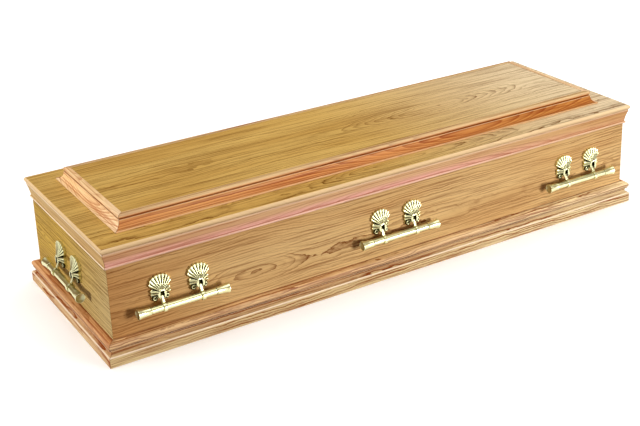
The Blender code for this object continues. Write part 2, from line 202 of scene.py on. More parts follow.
class Net:
    """The nodes of one material or of the world."""

    def __init__(self, tree: bpy.types.NodeTree) -> None:
        """Empties the tree to build in it."""
        self.tree = tree
        tree.nodes.clear()

    @staticmethod
    def _find(sockets: bpy.types.bpy_prop_collection, key: "int | str") -> Socket:
        """The socket at a place, or else with that identifier or name."""
        named = (one for one in sockets if one.identifier == key)
        return next(named, None) or sockets[key]

    def add(self, kind: str, settings: "dict | None" = None, values: "dict | None" = None) -> bpy.types.Node:
        """Adds one node.

        Args:
            kind: The node's type.
            settings: Its own settings, set first.
            values: What goes into its sockets: a number, a colour, a Shade or a socket.

        Returns:
            The node.
        """
        node = self.tree.nodes.new(kind)
        for key, value in (settings or {}).items():
            setattr(node, key, value)
        for key, value in (values or {}).items():
            socket = self._find(node.inputs, key)
            source = value.socket if isinstance(value, Shade) else value
            if isinstance(source, Socket):
                self.tree.links.new(source, socket)
            elif socket.type == "RGBA":
                socket.default_value = (*source, 1.0)
            else:
                socket.default_value = source
        return node

    def number(self, kind: str, settings: dict, values: dict, output: "int | str" = 0) -> Shade:
        """A node whose output is used as a number."""
        return Shade(self, self._find(self.add(kind, settings, values).outputs, output))

    def blend(self, share: "float | Shade", start: object, end: object, way: str = "MIX") -> Socket:
        """Mixes two colours, each of them plain or a socket.

        Args:
            share: How much of the second.
            start: The first.
            end: The second.
            way: How the second is laid over the first.

        Returns:
            The mixture.
        """
        values = {"Factor_Float": share, "A_Color": start, "B_Color": end}
        mix = self.add("ShaderNodeMix", {"data_type": "RGBA", "blend_type": way}, values)
        return self._find(mix.outputs, "Result_Color")

    def place(self) -> Socket:
        """The place on the piece, in metres."""
        return self.add("ShaderNodeTexCoord").outputs["Object"]

    def moved(self, place: Socket, **change: Place) -> Socket:
        """The place after a Mapping node with this Location, Rotation or Scale."""
        return self.add("ShaderNodeMapping", {"vector_type": "POINT"}, {"Vector": place, **change}).outputs[0]

    def parts(self, vector: Socket) -> list[Shade]:
        """A vector's three numbers."""
        outputs = self.add("ShaderNodeSeparateXYZ", {}, {"Vector": vector}).outputs
        return [Shade(self, socket) for socket in outputs]

    def recess(self) -> Shade:
        """The piece's own recess attribute."""
        return self.number("ShaderNodeAttribute", {"attribute_name": RECESS}, {}, "Fac")

    def surface(self, values: dict) -> None:
        """Ends the material in a Principled shader with these values."""
        shader = self.add("ShaderNodeBsdfPrincipled", {}, values)
        self.add("ShaderNodeOutputMaterial", {}, {"Surface": shader.outputs[0]})


def new_material(name: str) -> tuple[bpy.types.Material, Net]:
    """Starts an empty material.

    Args:
        name: Its name.

    Returns:
        The material and the net to build it with.
    """
    made = bpy.data.materials.new(name)
    made.use_nodes = True
    return made, Net(made.node_tree)


# Finishes


@dataclass(frozen=True)
class Marking:
    """One kind of mark on a surface: noise, and the values between which a mark comes up."""

    grain: Pair                      # waves a metre, along the grain and across it
    detail: float = 2.0
    low: float = 0.0
    high: float = 1.0

    def noise(self, net: Net, place: Socket) -> bpy.types.Node:
        """The noise's node, whose place is stretched to the marks' grain."""
        scaled = net.moved(place, Scale=(self.grain[0], self.grain[1], self.grain[1]))
        return net.add("ShaderNodeTexNoise", {}, {"Vector": scaled, "Scale": 1.0, "Detail": self.detail})

    def cloud(self, net: Net, place: Socket) -> Shade:
        """The noise as a number from 0 to 1, with its middle at a half."""
        return Shade(net, self.noise(net, place).outputs[0])

    def shown(self, cloud: Shade) -> Shade:
        """Where that noise is a mark, from 0 to 1."""
        return cloud.step(self.low, self.high)


WANDER = Marking((1.6, 4.0))         # of a log's axis
PATCH = Marking((1.6, 11.0), 2.0, 0.35, 0.68)
FADE = Marking((2.5, 30.0), 1.0, 0.28, 0.60)  # where the ring lines are not faded
STREAK = Marking((4.0, 240.0), 3.0, 0.46, 0.68)
RIPPLE = Marking((20.0, 46.0), 3.0)  # of the rings
FIBRE = Marking((28.0, 1400.0), 2.0, 0.30, 0.75)
PORE = Marking((95.0, 2100.0), 1.0, 0.60, 0.72)
SMUDGE = Marking((60.0, 60.0), 3.0, 0.45, 0.75)
CAST = Marking((900.0, 900.0))       # the brass's skin
SEED_DRIFT = (3.7, 1.3, 2.1)         # how far a seed of 1 moves a wood's noise


@dataclass(frozen=True)
class Lipping:
    """The solid strip round a veneered board's edge: where it starts and its colour, which is paler oak and
    partly a painted highlight on the rounded nose.
    """

    half_length: float
    half_width: float
    colour: Colour
    strength: float = 0.88
    blur: float = 0.0004


@dataclass(frozen=True)
class Flush:
    """A slow change of colour over the wood, from one point (none) to another (all of it). Some are the
    wood's own tone and some paint light and shade, as noted where they are used.
    """

    colour: Colour
    start: Place
    end: Place
    most: float = 1.0

    def over(self, net: Net, where: Socket, ground: Socket) -> Socket:
        """Lays the change over a colour, by the share of the way from start to end.

        Args:
            net: The material's net.
            where: The place on the piece.
            ground: The colour so far.

        Returns:
            The colour with the change.
        """
        way = Vector(self.end) - Vector(self.start)
        gone = net.add("ShaderNodeVectorMath", {"operation": "SUBTRACT"}, {0: where, 1: self.start})
        along = {0: gone.outputs[0], 1: tuple(way / way.length_squared)}
        share = net.number("ShaderNodeVectorMath", {"operation": "DOT_PRODUCT"}, along, "Value")
        return net.blend(share.step(0.0, 1.0) * self.most, ground, self.colour)


@dataclass(frozen=True)
class Oak:
    """Satin varnished oak, cut from a log whose growth rings show on its faces.

    The rings are tubes round an axis that runs near the face. Their lines are straight where the
    axis keeps its distance, and close in flames and ovals where it comes up to the face.
    """

    name: str
    pale: Colour
    deep: Colour                     # the late wood's lines
    blush: Colour                    # broad patches
    heart: Place                     # a point of the axis: along the grain, across, up
    grain: Grain = Grain.ALONG
    ring_gap: float = 0.0064
    swirl: float = 0.030             # how far the axis wanders
    eye: Pair = (0.0, 0.0)           # how much further across and up it lies away from the heart
    eye_length: float = 0.22         # how far from the heart it reaches that
    contrast: float = 1.0            # of the ring lines
    core: Pair = (0.6, 1.8)          # the lines set in between these rings
    late_turn: float = 2.4           # how late in its year a ring darkens
    winter: Pair = (0.90, 1.0)       # the end of the year, when the dark ends
    bold: float = 1.1                # how rare a strong ring is
    faintest: float = 0.15           # a ring's line, and what luck adds to it
    luckiest: float = 0.95
    faded: float = 0.35              # what is left of a line where it fades
    streaks: float = 0.55            # of the fibres between them
    patches: float = 0.6
    ripple: float = 1.6              # small waves of the rings, in ring gaps
    sheen: Colour = (1.0, 0.93, 0.80)  # of the fibres
    sheen_share: float = 0.22
    pore_share: float = 0.18
    roughness: float = 0.38
    rougher: float = 0.10            # in streaks and pores
    dirt: Colour = (0.60, 0.40, 0.30)  # the colour of the painted shade in hollows and of a mitre's dark line, as shares of the lines'
    hollow_shade: float = 0.60              # painted shade in the hollows of a moulding
    shade_depths: Pair = (0.10, 0.90)     # how hollow it is where the painted shade starts and where it is full
    edge_highlight: float = 0.80               # painted highlight on its edges
    highlight_range: Pair = (0.25, 0.80)      # how proud an edge is where the painted highlight starts and where it is full
    # The painted highlight's colour.
    highlight_colour: Colour = (0.95, 0.80, 0.60)
    joint: Pair = (0.0, 0.0)         # half the rectangle whose corners the mitres run out from
    joint_line: Pair = (0.0004, 0.0017)  # where a mitre's dark line starts and stops to fade
    joint_share: float = 0.70
    lipping: Lipping | None = None
    flushes: tuple[Flush, ...] = ()
    seed: float = 0.0

    def material(self) -> bpy.types.Material:
        """Builds the finish.

        Rings: the distance from the wandering axis over the ring gap, of which the fraction rises
        slowly and drops at once, as late wood does before the next spring.

        Returns:
            The material.
        """
        made, net = new_material(self.name)
        where = net.place()
        grained = net.moved(where, Rotation=(0.0, 0.0, math.radians(self.grain.value)))
        place = net.moved(grained, Location=tuple(-part for part in self.heart))
        seeded = net.moved(place, Location=tuple(self.seed * part for part in SEED_DRIFT))

        rings = self._rings(net, place, seeded)
        late = rings.fraction() ** self.late_turn * (1.0 - rings.fraction().step(*self.winter))
        year = {"W": rings.whole() + self.seed}
        luck = net.number("ShaderNodeTexWhiteNoise", {"noise_dimensions": "1D"}, year, "Value")
        streak, fibre = (mark.cloud(net, seeded) for mark in (STREAK, FIBRE))
        pore, patch, fade = (mark.shown(mark.cloud(net, seeded)) for mark in (PORE, PATCH, FADE))
        line = late * (self.faintest + self.luckiest * luck ** self.bold) * rings.step(*self.core)
        line = line * (self.faded + (1.0 - self.faded) * fade)

        ground = net.blend(patch * self.patches, self.pale, self.blush)
        for ramp in self.flushes:
            ground = ramp.over(net, where, ground)
        lined = net.blend(line * self.contrast, ground, self.deep)
        streaky = net.blend(STREAK.shown(streak) * self.streaks, lined, self.deep)
        light = net.blend(FIBRE.shown(fibre) * self.sheen_share, streaky, self.sheen, "SOFT_LIGHT")
        relief = {"Strength": 0.22, "Distance": 0.0003, "Height": fibre * 0.35 - pore - late * 0.25}
        net.surface({
            "Base Color": self._edges(net, where, net.blend(pore * self.pore_share, light, self.deep)),
            "Roughness": self.roughness + self.rougher * (streak - 0.5) + self.rougher * pore,
            "Specular IOR Level": 0.0,
            "Coat Weight": 0.08,
            "Coat Roughness": 0.30,
            "Normal": net.add("ShaderNodeBump", {}, relief).outputs[0],
        })
        return made

    def _rings(self, net: Net, place: Socket, seeded: Socket) -> Shade:
        """Counts the rings between the log's axis and the surface.

        Args:
            net: The material's net.
            place: The place from the heart, along the grain, across and up.
            seeded: The same, moved by the seed.

        Returns:
            The distance from the axis over the ring gap, with small waves.
        """
        along, across, up = net.parts(place)
        wander = WANDER.noise(net, seeded).outputs["Color"]
        channels = net.add("ShaderNodeSeparateColor", {}, {"Color": wander}).outputs
        away = abs(along).step(0.0, self.eye_length)
        across = across + self.swirl * (Shade(net, channels[0]) - 0.5) + self.eye[0] * away
        up = up + self.swirl * (Shade(net, channels[1]) - 0.5) + self.eye[1] * away
        waves = self.ripple * (RIPPLE.cloud(net, seeded) - 0.5)
        return (across * across + up * up).root() / self.ring_gap + waves

    def _edges(self, net: Net, where: Socket, colour: Socket) -> Socket:
        """Adds painted shade in the hollows, a painted highlight on the proud edges, the dark line of a mitre
        and the lipping, whose cream is partly a painted highlight.

        Args:
            net: The material's net.
            where: The place on the piece.
            colour: The wood's colour.

        Returns:
            The colour with them.
        """
        # Painted shade in a moulding's hollows, and a painted highlight on its proud edges.
        hollow = net.recess()
        dark = tuple(line * share for line, share in zip(self.deep, self.dirt))
        colour = net.blend(hollow.step(*self.shade_depths) * self.hollow_shade, colour, dark)
        colour = net.blend((0.0 - hollow).step(*self.highlight_range) * self.edge_highlight, colour, self.highlight_colour)
        x, y = (abs(part) for part in net.parts(where)[:2])
        if self.lipping:
            strip = self.lipping
            past = (x - strip.half_length).larger(y - strip.half_width).step(-strip.blur, strip.blur)
            colour = net.blend(past * strip.strength, colour, strip.colour)
        if any(self.joint):
            off = abs((x - self.joint[0]) - (y - self.joint[1]))
            colour = net.blend((1.0 - off.step(*self.joint_line)) * self.joint_share, colour, dark)
        return colour


@dataclass(frozen=True)
class Brass:
    """Polished brass with a greenish cast, and painted shade, partly tarnish, in its hollows."""

    name: str = "polished_brass"
    bright: Colour = (0.80, 0.80, 0.48)
    smudged: Colour = tone(206, 200, 122)
    smudges: float = 0.30
    # Painted shade, partly tarnish: the colour in deep hollows, in the slot and on the hidden eye.
    dark: Colour = (0.028, 0.024, 0.004)
    darkest: float = 0.50            # a recess from here on is dark all through
    roughness: float = 0.27

    def material(self) -> bpy.types.Material:
        """Builds the finish: bright metal, smudged a little, and darkened where the recess is deep, as
        painted shade that is partly tarnish.

        Returns:
            The material.
        """
        made, net = new_material(self.name)
        where = net.place()
        depth = net.recess()
        smudge = SMUDGE.cloud(net, where)
        metal = net.blend(SMUDGE.shown(smudge) * self.smudges, self.bright, self.smudged)
        relief = {"Strength": 0.10, "Distance": 0.0002, "Height": CAST.cloud(net, where)}
        net.surface({
            "Base Color": net.blend(depth.step(0.0, self.darkest), metal, self.dark),
            "Metallic": 1.0,
            "Roughness": self.roughness + 0.10 * smudge + 0.35 * depth,
            "Normal": net.add("ShaderNodeBump", {}, relief).outputs[0],
        })
        return made


# Surfaces


def arc(centre: Pair, radius: float, start: float, end: float, steps: int) -> Points:
    """Points on a circle, its angles in degrees from the first axis towards the second."""
    angle = np.radians(np.linspace(start, end, steps + 1))
    return np.stack([centre[0] + radius * np.cos(angle), centre[1] + radius * np.sin(angle)], axis=1)


def round_angles(count: int) -> Points:
    """So many evenly spaced angles round a circle, in radians."""
    return np.linspace(0.0, 2 * math.pi, count, endpoint=False)


def filled_out(wave: Points, power: float) -> Points:
    """A wave with fuller rounds: its sign times its size to a power below 1."""
    return np.sign(wave) * np.abs(wave) ** power


def levels(plan: Points, heights: Pair) -> Points:
    """A plan of (N, 2) points at each height, as (2, N, 3) points."""
    return np.stack([np.column_stack([plan, np.full(len(plan), up)]) for up in heights])


def eased(profile: Points, reach: float, steps: int = 3) -> Points:
    """Rounds the sharp corners of a closed profile.

    Each corner P that turns by more than EASE_DEG becomes the curve P + (1-t)^2 a + t^2 b, where a
    and b point back and on along its two edges, `reach` long or less on a short edge.

    Args:
        profile: (N, 2) points in order.
        reach: How far from the corner the curve starts.
        steps: How many parts the curve has.

    Returns:
        The (M, 2) points of the eased profile.
    """
    back = np.roll(profile, 1, axis=0) - profile
    on = np.roll(profile, -1, axis=0) - profile
    back_length = np.linalg.norm(back, axis=1, keepdims=True)
    on_length = np.linalg.norm(on, axis=1, keepdims=True)
    straight = -np.sum(back * on, axis=1) / (back_length * on_length)[:, 0]
    sharp = np.degrees(np.arccos(np.clip(straight, -1, 1))) > EASE_DEG
    back = back / back_length * np.minimum(reach, 0.4 * back_length)
    on = on / on_length * np.minimum(reach, 0.4 * on_length)
    t = np.linspace(0.0, 1.0, steps + 1)[None, :, None]
    curve = profile[:, None] + (1 - t) ** 2 * back[:, None] + t ** 2 * on[:, None]
    curve = np.where(sharp[:, None, None], curve, profile[:, None])
    keep = sharp[:, None] | (np.arange(steps + 1)[None] == 0)
    return curve[keep]


def closed_mesh(name: str, grid: Points, endless: bool = False) -> bpy.types.Mesh:
    """Makes a closed mesh of rings of points.

    Args:
        name: The mesh's name.
        grid: (rows, columns, 3) points. Each row is a closed ring, joined to the next by quads.
        endless: Whether the last row joins the first; if not, a face closes each end.

    Returns:
        The mesh, its faces pointing outwards.
    """
    rows, columns = grid.shape[:2]
    row = np.arange(rows if endless else rows - 1)[:, None]
    column = np.arange(columns)[None]
    beside = (column + 1) % columns
    after = (row + 1) % rows
    quads = np.stack([row * columns + column, row * columns + beside,
                      after * columns + beside, after * columns + column], axis=-1)
    faces = quads.reshape(-1, 4).tolist()
    if not endless:
        faces.append(list(range(columns))[::-1])
        faces.append(list(range((rows - 1) * columns, rows * columns)))
    mesh = bpy.data.meshes.new(name)
    mesh.from_pydata(grid.reshape(-1, 3).tolist(), [], faces)
    return outwards(mesh)


def lathe(name: str, profile: Points, sides: int) -> bpy.types.Mesh:
    """Turns a profile round X: y = -radius cos a, z = radius sin a.

    Args:
        name: The mesh's name.
        profile: (N, 2) points (x, radius).
        sides: How many angles a there are.

    Returns:
        A closed mesh.
    """
    angle = round_angles(sides)[None]
    x = np.repeat(profile[:, :1], sides, axis=1)
    radius = profile[:, 1:]
    return closed_mesh(name, np.stack([x, -radius * np.cos(angle), radius * np.sin(angle)], axis=-1))


def outwards(mesh: bpy.types.Mesh) -> bpy.types.Mesh:
    """Points a closed mesh's faces outwards and shades it smooth with crisp edges.

    Args:
        mesh: The mesh, changed in place.

    Returns:
        The same mesh.
    """
    bm = bmesh.new()
    bm.from_mesh(mesh)
    bmesh.ops.recalc_face_normals(bm, faces=bm.faces)
    bm.to_mesh(mesh)
    bm.free()
    mesh.shade_smooth()
    mesh.set_sharp_from_angle(angle=math.radians(SHARP_DEG))
    return mesh


def mark(mesh: bpy.types.Mesh, recess: Points) -> None:
    """Writes each vertex's recess into the mesh's attribute."""
    layer = mesh.attributes.get(RECESS) or mesh.attributes.new(RECESS, "FLOAT", "POINT")
    layer.data.foreach_set("value", recess.ravel())


def turning(profile: Points, reach: float) -> Points:
    """How hollow (above 0) or proud (below 0) a closed profile is round each of its points.

    It sums, over the points q, the angle that the profile turns at q, times exp(-(d / reach)^2),
    with d the distance to q, and holds the sum between -1 and 1.

    Args:
        profile: (N, 2) points in order, clockwise or not.
        reach: How far round a point the turns count.

    Returns:
        N numbers from -1 to 1.
    """
    back = profile - np.roll(profile, 1, axis=0)
    on = np.roll(profile, -1, axis=0) - profile
    cross = back[:, 0] * on[:, 1] - back[:, 1] * on[:, 0]
    angle = np.arctan2(cross, np.sum(back * on, axis=1))
    apart = np.linalg.norm(profile[:, None] - profile[None], axis=-1)
    total = np.exp(-(apart / reach) ** 2) @ angle
    return np.clip(-np.sign(angle.sum()) * total, -1.0, 1.0)


def parted(profile: Points, reach: float) -> Points:
    """Adds a point near each end of a closed profile's long edges.

    On an edge PQ they are P + s (Q - P) and Q - s (Q - P), with s the reach over its length.

    Args:
        profile: (N, 2) points in order.
        reach: How far from the edge's end; an edge is long from three times this on.

    Returns:
        (M, 2) points.
    """
    on = np.roll(profile, -1, axis=0) - profile
    length = np.linalg.norm(on, axis=1)
    long = length > 3 * reach
    share = np.where(long, reach / np.maximum(length, reach), 0.5)[:, None]
    three = np.stack([profile, profile + share * on, profile + (1 - share) * on], axis=1)
    return three[np.column_stack([np.ones_like(long), long, long])]


def corners(mesh: bpy.types.Mesh) -> Points:
    """Reads a mesh's vertices.

    Args:
        mesh: The mesh.

    Returns:
        (N, 3) points.
    """
    flat = np.empty(len(mesh.vertices) * 3)
    mesh.vertices.foreach_get("co", flat)
    return flat.reshape(-1, 3)


def placed(name: str, data: bpy.types.ID) -> bpy.types.Object:
    """Stands a mesh, a light or a camera in the scene.

    Args:
        name: The object's name.
        data: What it shows.

    Returns:
        The new object.
    """
    thing = bpy.data.objects.new(name, data)
    bpy.context.scene.collection.objects.link(thing)
    return thing


def combined(name: str, body: bpy.types.Mesh, tools: list[bpy.types.Mesh], way: str) -> bpy.types.Mesh:
    """Joins tools to a closed mesh or cuts them out of it.

    Args:
        name: The result's name.
        body: The mesh that is worked on.
        tools: The closed meshes that it is worked with.
        way: UNION or DIFFERENCE.

    Returns:
        One closed mesh.
    """
    things = [placed(mesh.name, mesh) for mesh in [body] + tools]
    for tool in things[1:]:
        cut = things[0].modifiers.new(tool.name, "BOOLEAN")
        cut.operation = way
        cut.solver = "EXACT"
        cut.object = tool
    bpy.context.view_layer.update()
    worked = things[0].evaluated_get(bpy.context.evaluated_depsgraph_get())
    result = bpy.data.meshes.new_from_object(worked)
    result.name = name
    for thing in things:
        bpy.data.objects.remove(thing, do_unlink=True)
    return outwards(result)


def dress(
    node: str, mesh: bpy.types.Mesh, finish: bpy.types.Material, body: str
) -> bpy.types.Object:
    """Puts a finished surface in the place of a plain solid.

    Args:
        node: The solid that it stands for.
        mesh: The surface, in its place.
        finish: Its material.
        body: The body that it moves with.

    Returns:
        The piece.
    """
    piece = placed(f"{node}_finished", mesh)
    mesh.materials.clear()
    mesh.materials.append(finish)
    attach(piece, body)
    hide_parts(node)
    LOG.info("%s: %d faces, on %s", piece.name, len(mesh.polygons), body)
    return piece


# Joinery


@dataclass
class Joinery:
    """What the coffin's wooden parts share: the box's outer faces and how corners are mitred."""

    half_length: float = 0.958
    half_width: float = 0.299
    wall: float = 0.018
    wall_height: float = 0.3440
    lid_overhang: float = 0.0160
    joint_reach: float = 0.0025      # of the dark line where a moulding meets the wall
    hollow_reach: float = 0.0022     # how far round a corner of a moulding its painted shade and painted highlight spread

    def spans(self, side: Side = Side.FRONT, overhang: float = 0.0) -> Pair:
        """Half the rectangle along a side and across it."""
        halves = (self.half_length + overhang, self.half_width + overhang)
        return halves if side.is_long else halves[::-1]

    def run(self, name: str, profile: Points, side: Side, overhang: float = 0.0) -> bpy.types.Mesh:
        """Carries a profile along one side of the rectangle, cut at both mitres.

        A profile point (out, up) becomes x = -+(along + out), y = -(across + out), z = up.

        Args:
            name: The mesh's name.
            profile: (N, 2) points, measured outwards from the rectangle's edge and up.
            side: The side that the run is on.
            overhang: How far the rectangle stands out from the box.

        Returns:
            A closed mesh.
        """
        along, across = self.spans(side, overhang)
        profile = parted(profile, 1.5 * self.hollow_reach)
        out, up = profile[:, 0], profile[:, 1]
        reach = along + out - GAP / math.sqrt(2.0)
        ends = np.array([-1.0, 1.0])[:, None]
        grid = np.stack([ends * reach, np.broadcast_to(-(across + out), (2, len(out))),
                         np.broadcast_to(up, (2, len(up)))], axis=-1)
        mesh = closed_mesh(name, side.place(grid))
        # Hollows of the profile get painted shade and proud edges get a painted highlight.
        recess = turning(profile, self.hollow_reach)
        if not overhang:
            recess = np.where(out < self.joint_reach, 1.0, recess)
        mark(mesh, np.tile(recess, 2))
        return mesh

    def build_runs(
        self, kind: str, profile: Points, ease: float, finishes: dict[str, Oak], overhang: float = 0.0
    ) -> None:
        """Builds and dresses the four runs of one moulding.

        Args:
            kind: What the nodes are called, before their side.
            profile: The section, with its corners still sharp.
            ease: How far from a corner its rounding starts.
            finishes: The oak of each node.
            overhang: How far the rectangle stands out from the box.
        """
        for side in Side:
            node = f"{kind}_{side.label}"
            mesh = self.run(node, eased(profile, ease), side, overhang)
            dress(node, mesh, finishes[node].material(), ROOT_BODY)


@dataclass
class Panelling(Joinery):
    """The box: four veneered walls, mitred where they meet, and the bottom board between them."""

    corner_radius: float = 0.0012
    corner_steps: int = 4

    def wall_outline(self, side: Side) -> Points:
        """Draws a wall from above: its outer face turns an eighth of a circle to each mitre.

        Args:
            side: The side that it is on.

        Returns:
            (N, 2) points, worked out for the front.
        """
        along, across = self.spans(side)
        radius = self.corner_radius
        centre = (along - radius - GAP / math.sqrt(2.0), -(across - radius))
        near_end = arc(centre, radius, -90, -45, self.corner_steps)
        right = np.concatenate([near_end, [(along - self.wall, -(across - self.wall))]])
        return np.concatenate([right, right[::-1] * (-1.0, 1.0)])

    def build(self, finishes: dict[str, Oak]) -> None:
        """Builds the walls and dresses the bottom board.

        Args:
            finishes: The oak of each node.
        """
        names = {Side.FRONT: "side_panel_front", Side.BACK: "side_panel_back",
                 Side.LEFT: "end_panel_left", Side.RIGHT: "end_panel_right"}
        for side, node in names.items():
            plan = self.wall_outline(side)
            mesh = closed_mesh(node, side.place(levels(plan, (0.0, self.wall_height))))
            dress(node, mesh, finishes[node].material(), ROOT_BODY)
        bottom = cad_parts["base_board"]
        bottom.data.materials.clear()
        bottom.data.materials.append(finishes["base_board"].material())
        LOG.info("base_board: dressed")


@dataclass
class BaseMoulding(Joinery):
    """The plinth round the foot: sloped ledge, rounded bead, cove and upright fascia."""

    reach: float = 0.0245
    height: float = 0.0755
    fascia: float = 0.0320
    ledge: float = 0.0090
    ledge_fall: float = 0.0030
    bead_radius: float = 0.0105
    bead_setback: float = 0.0020
    cove_depth: float = 0.0095
    chamfer: float = 0.0020
    ease: float = 0.0008

    def profile(self) -> Points:
        """Draws the section, from the top of its back down its face to the floor.

        The cove is half a circle stretched to its depth and height.

        Returns:
            (N, 2) points, out and up.
        """
        bead = (self.reach - self.bead_setback - self.bead_radius,
                self.height - self.ledge_fall - self.bead_radius)
        cove_top = bead[1] - self.bead_radius
        cove_foot = self.fascia + self.chamfer
        cove_out = self.reach - self.chamfer
        angle = np.linspace(0.0, math.pi, 17)[1:-1]
        half = (cove_top - cove_foot) / 2
        cove = np.stack([cove_out - self.cove_depth * np.sin(angle),
                         cove_foot + half * (1 + np.cos(angle))], axis=1)
        return np.concatenate([
            [(GAP, 0.0), (GAP, self.height), (self.ledge, self.height - self.ledge_fall / 2)],
            arc(bead, self.bead_radius, 75, -80, 16),
            cove,
            [(cove_out, cove_foot), (self.reach, self.fascia), (self.reach, 0.0)],
        ])

    def build(self, finishes: dict[str, Oak]) -> None:
        """Builds the four runs."""
        self.build_runs("base_moulding", self.profile(), self.ease, finishes)


@dataclass
class RimMoulding(Joinery):
    """The slim moulding under the lid: lip, long cove and a small nub at its foot."""

    reach: float = 0.0110
    height: float = 0.0500
    lip: float = 0.0060
    waist: float = 0.0030
    cove_turn: float = 1.6
    nub_radius: float = 0.0035
    ease: float = 0.0008

    def profile(self) -> Points:
        """Draws the section.

        The cove stands out by waist + (reach - waist) (1 - s) ^ turn where it has dropped by s.

        Returns:
            (N, 2) points, out and up.
        """
        top = self.wall_height
        foot = top - self.height
        nub = (self.waist, foot + self.nub_radius)
        cove_top = top - self.lip
        fallen = np.sin(np.linspace(0.0, math.pi / 2, 15)[1:])
        out = self.waist + (self.reach - self.waist) * (1 - fallen) ** self.cove_turn
        cove = np.stack([out, cove_top - (cove_top - nub[1] - self.nub_radius) * fallen], axis=1)
        return np.concatenate([
            [(GAP, foot), (GAP, top), (self.reach, top), (self.reach, cove_top)],
            cove,
            arc(nub, self.nub_radius, 60, -80, 10),
        ])

    def build(self, finishes: dict[str, Oak]) -> None:
        """Builds the four runs."""
        self.build_runs("rim_moulding", self.profile(), self.ease, finishes)


@dataclass
class Lid(Joinery):
    """The loose lid: a board with a rounded edge, and a raised panel in a heavy mitred frame."""

    board: float = 0.0162
    edge_radius: float = 0.0078
    undercut: float = 0.0060
    frame_setback: float = 0.0780
    frame_width: float = 0.0370
    frame_height: float = 0.0430
    frame_lip: float = 0.0045
    frame_quirk: float = 0.0030
    bead_radius: float = 0.0058
    bead_proud: float = 0.0026
    frame_ledge: float = 0.0100
    panel: float = 0.0090
    frame_ease: float = 0.0007
    panel_drop: float = 0.0010
    panel_ease: float = 0.0008
    corner_ease: float = 0.0016
    corner_steps: int = 4

    @property
    def bottom(self) -> float:
        """The height of the board's underside."""
        return self.wall_height + GAP

    @property
    def top(self) -> float:
        """The height of the board's top."""
        return self.bottom + self.board

    def stacked(self, name: str, half_length: float, half_width: float, profile: Points) -> bpy.types.Mesh:
        """A board whose edge follows a profile all the way round.

        Each profile point (out, up) is a rectangle at height up, `out` larger than the board's halves.
        Its corner C is the curve C - (1-t)^2 e in + t^2 e on, with e the corner's ease.

        Args:
            name: The mesh's name.
            half_length: Half the board along X.
            half_width: Half the board along Y.
            profile: (N, 2) points from the underside to the top.

        Returns:
            A closed mesh.
        """
        signs = np.array([(-1, -1), (1, -1), (1, 1), (-1, 1)], dtype=float)
        coming = np.array([(0, -1), (1, 0), (0, 1), (-1, 0)], dtype=float)
        going = np.roll(coming, -1, axis=0)
        halves = np.array([half_length, half_width]) + profile[:, :1]
        t = np.linspace(0.0, 1.0, self.corner_steps + 1)[None, :, None]
        rounding = self.corner_ease * (t ** 2 * going[:, None] - (1 - t) ** 2 * coming[:, None])
        plan = halves[:, None, None] * signs[None, :, None] + rounding[None]
        plan = plan.reshape(len(profile), -1, 2)
        up = np.broadcast_to(profile[:, 1, None, None], plan.shape[:2] + (1,))
        return closed_mesh(name, np.concatenate([plan, up], axis=2))

    def board_edge(self) -> Points:
        """The board's edge from the undercut below its nose round to the top."""
        nose = arc((-self.edge_radius, self.top - self.edge_radius), self.edge_radius, -60, 90, 14)
        return np.concatenate([[(-self.undercut, self.bottom)], nose])

    def frame_profile(self) -> Points:
        """Draws the frame's section: lip, cove rising inwards, quirk, bead and the panel's ledge.

        The cove is a quarter of a circle stretched to its width and height.

        Returns:
            (N, 2) points, out and up.
        """
        foot = self.top + GAP
        head_height = self.top + self.frame_height
        edge = -self.frame_setback
        inner = edge - self.frame_width
        bead = (inner + 2 * self.bead_radius, head_height - self.bead_radius)
        head = (bead[0] + self.bead_proud, bead[1] - self.bead_radius)
        start = (edge - self.frame_quirk, foot + self.frame_lip)
        angle = np.linspace(0.0, math.pi / 2, 17)
        cove = np.stack([start[0] - (start[0] - self.frame_quirk - head[0]) * np.sin(angle),
                         start[1] + (head[1] - self.frame_quirk - start[1]) * (1 - np.cos(angle))], axis=1)
        ledge = head_height - self.panel_drop - self.panel - GAP
        return np.concatenate([
            [(edge, foot), (edge, start[1])],
            cove,
            [(head[0], head[1] - self.frame_quirk), head],
            arc(bead, self.bead_radius, -30, 90, 12),
            [(inner, head_height), (inner, ledge)],
            [(inner - self.frame_ledge, ledge), (inner - self.frame_ledge, foot)],
        ])

    def build(self, finishes: dict[str, Oak]) -> None:
        """Builds the board, the frame's four runs and the raised panel.

        Args:
            finishes: The oak of each node.
        """
        half_length, half_width = self.spans(overhang=self.lid_overhang)
        mesh = self.stacked("lid_board", half_length, half_width, self.board_edge())
        dress("lid_board", mesh, finishes["lid_board"].material(), ROOT_BODY)
        self.build_runs("lid_frame", self.frame_profile(), self.frame_ease, finishes, self.lid_overhang)
        inset = self.frame_setback + self.frame_width + GAP
        high = self.top + self.frame_height - self.panel_drop
        ease = self.panel_ease
        edge = np.array([(0.0, high - self.panel), (0.0, high - ease),
                         (-ease / 4, high - ease / 4), (-ease, high)])
        mesh = self.stacked("lid_panel", half_length - inset, half_width - inset, edge)
        dress("lid_panel", mesh, finishes["lid_panel"].material(), ROOT_BODY)


# Handles. A handle is worked out facing -Y, with the middle of its hinge line at the origin. The
# wall's outer face is at y = standoff.


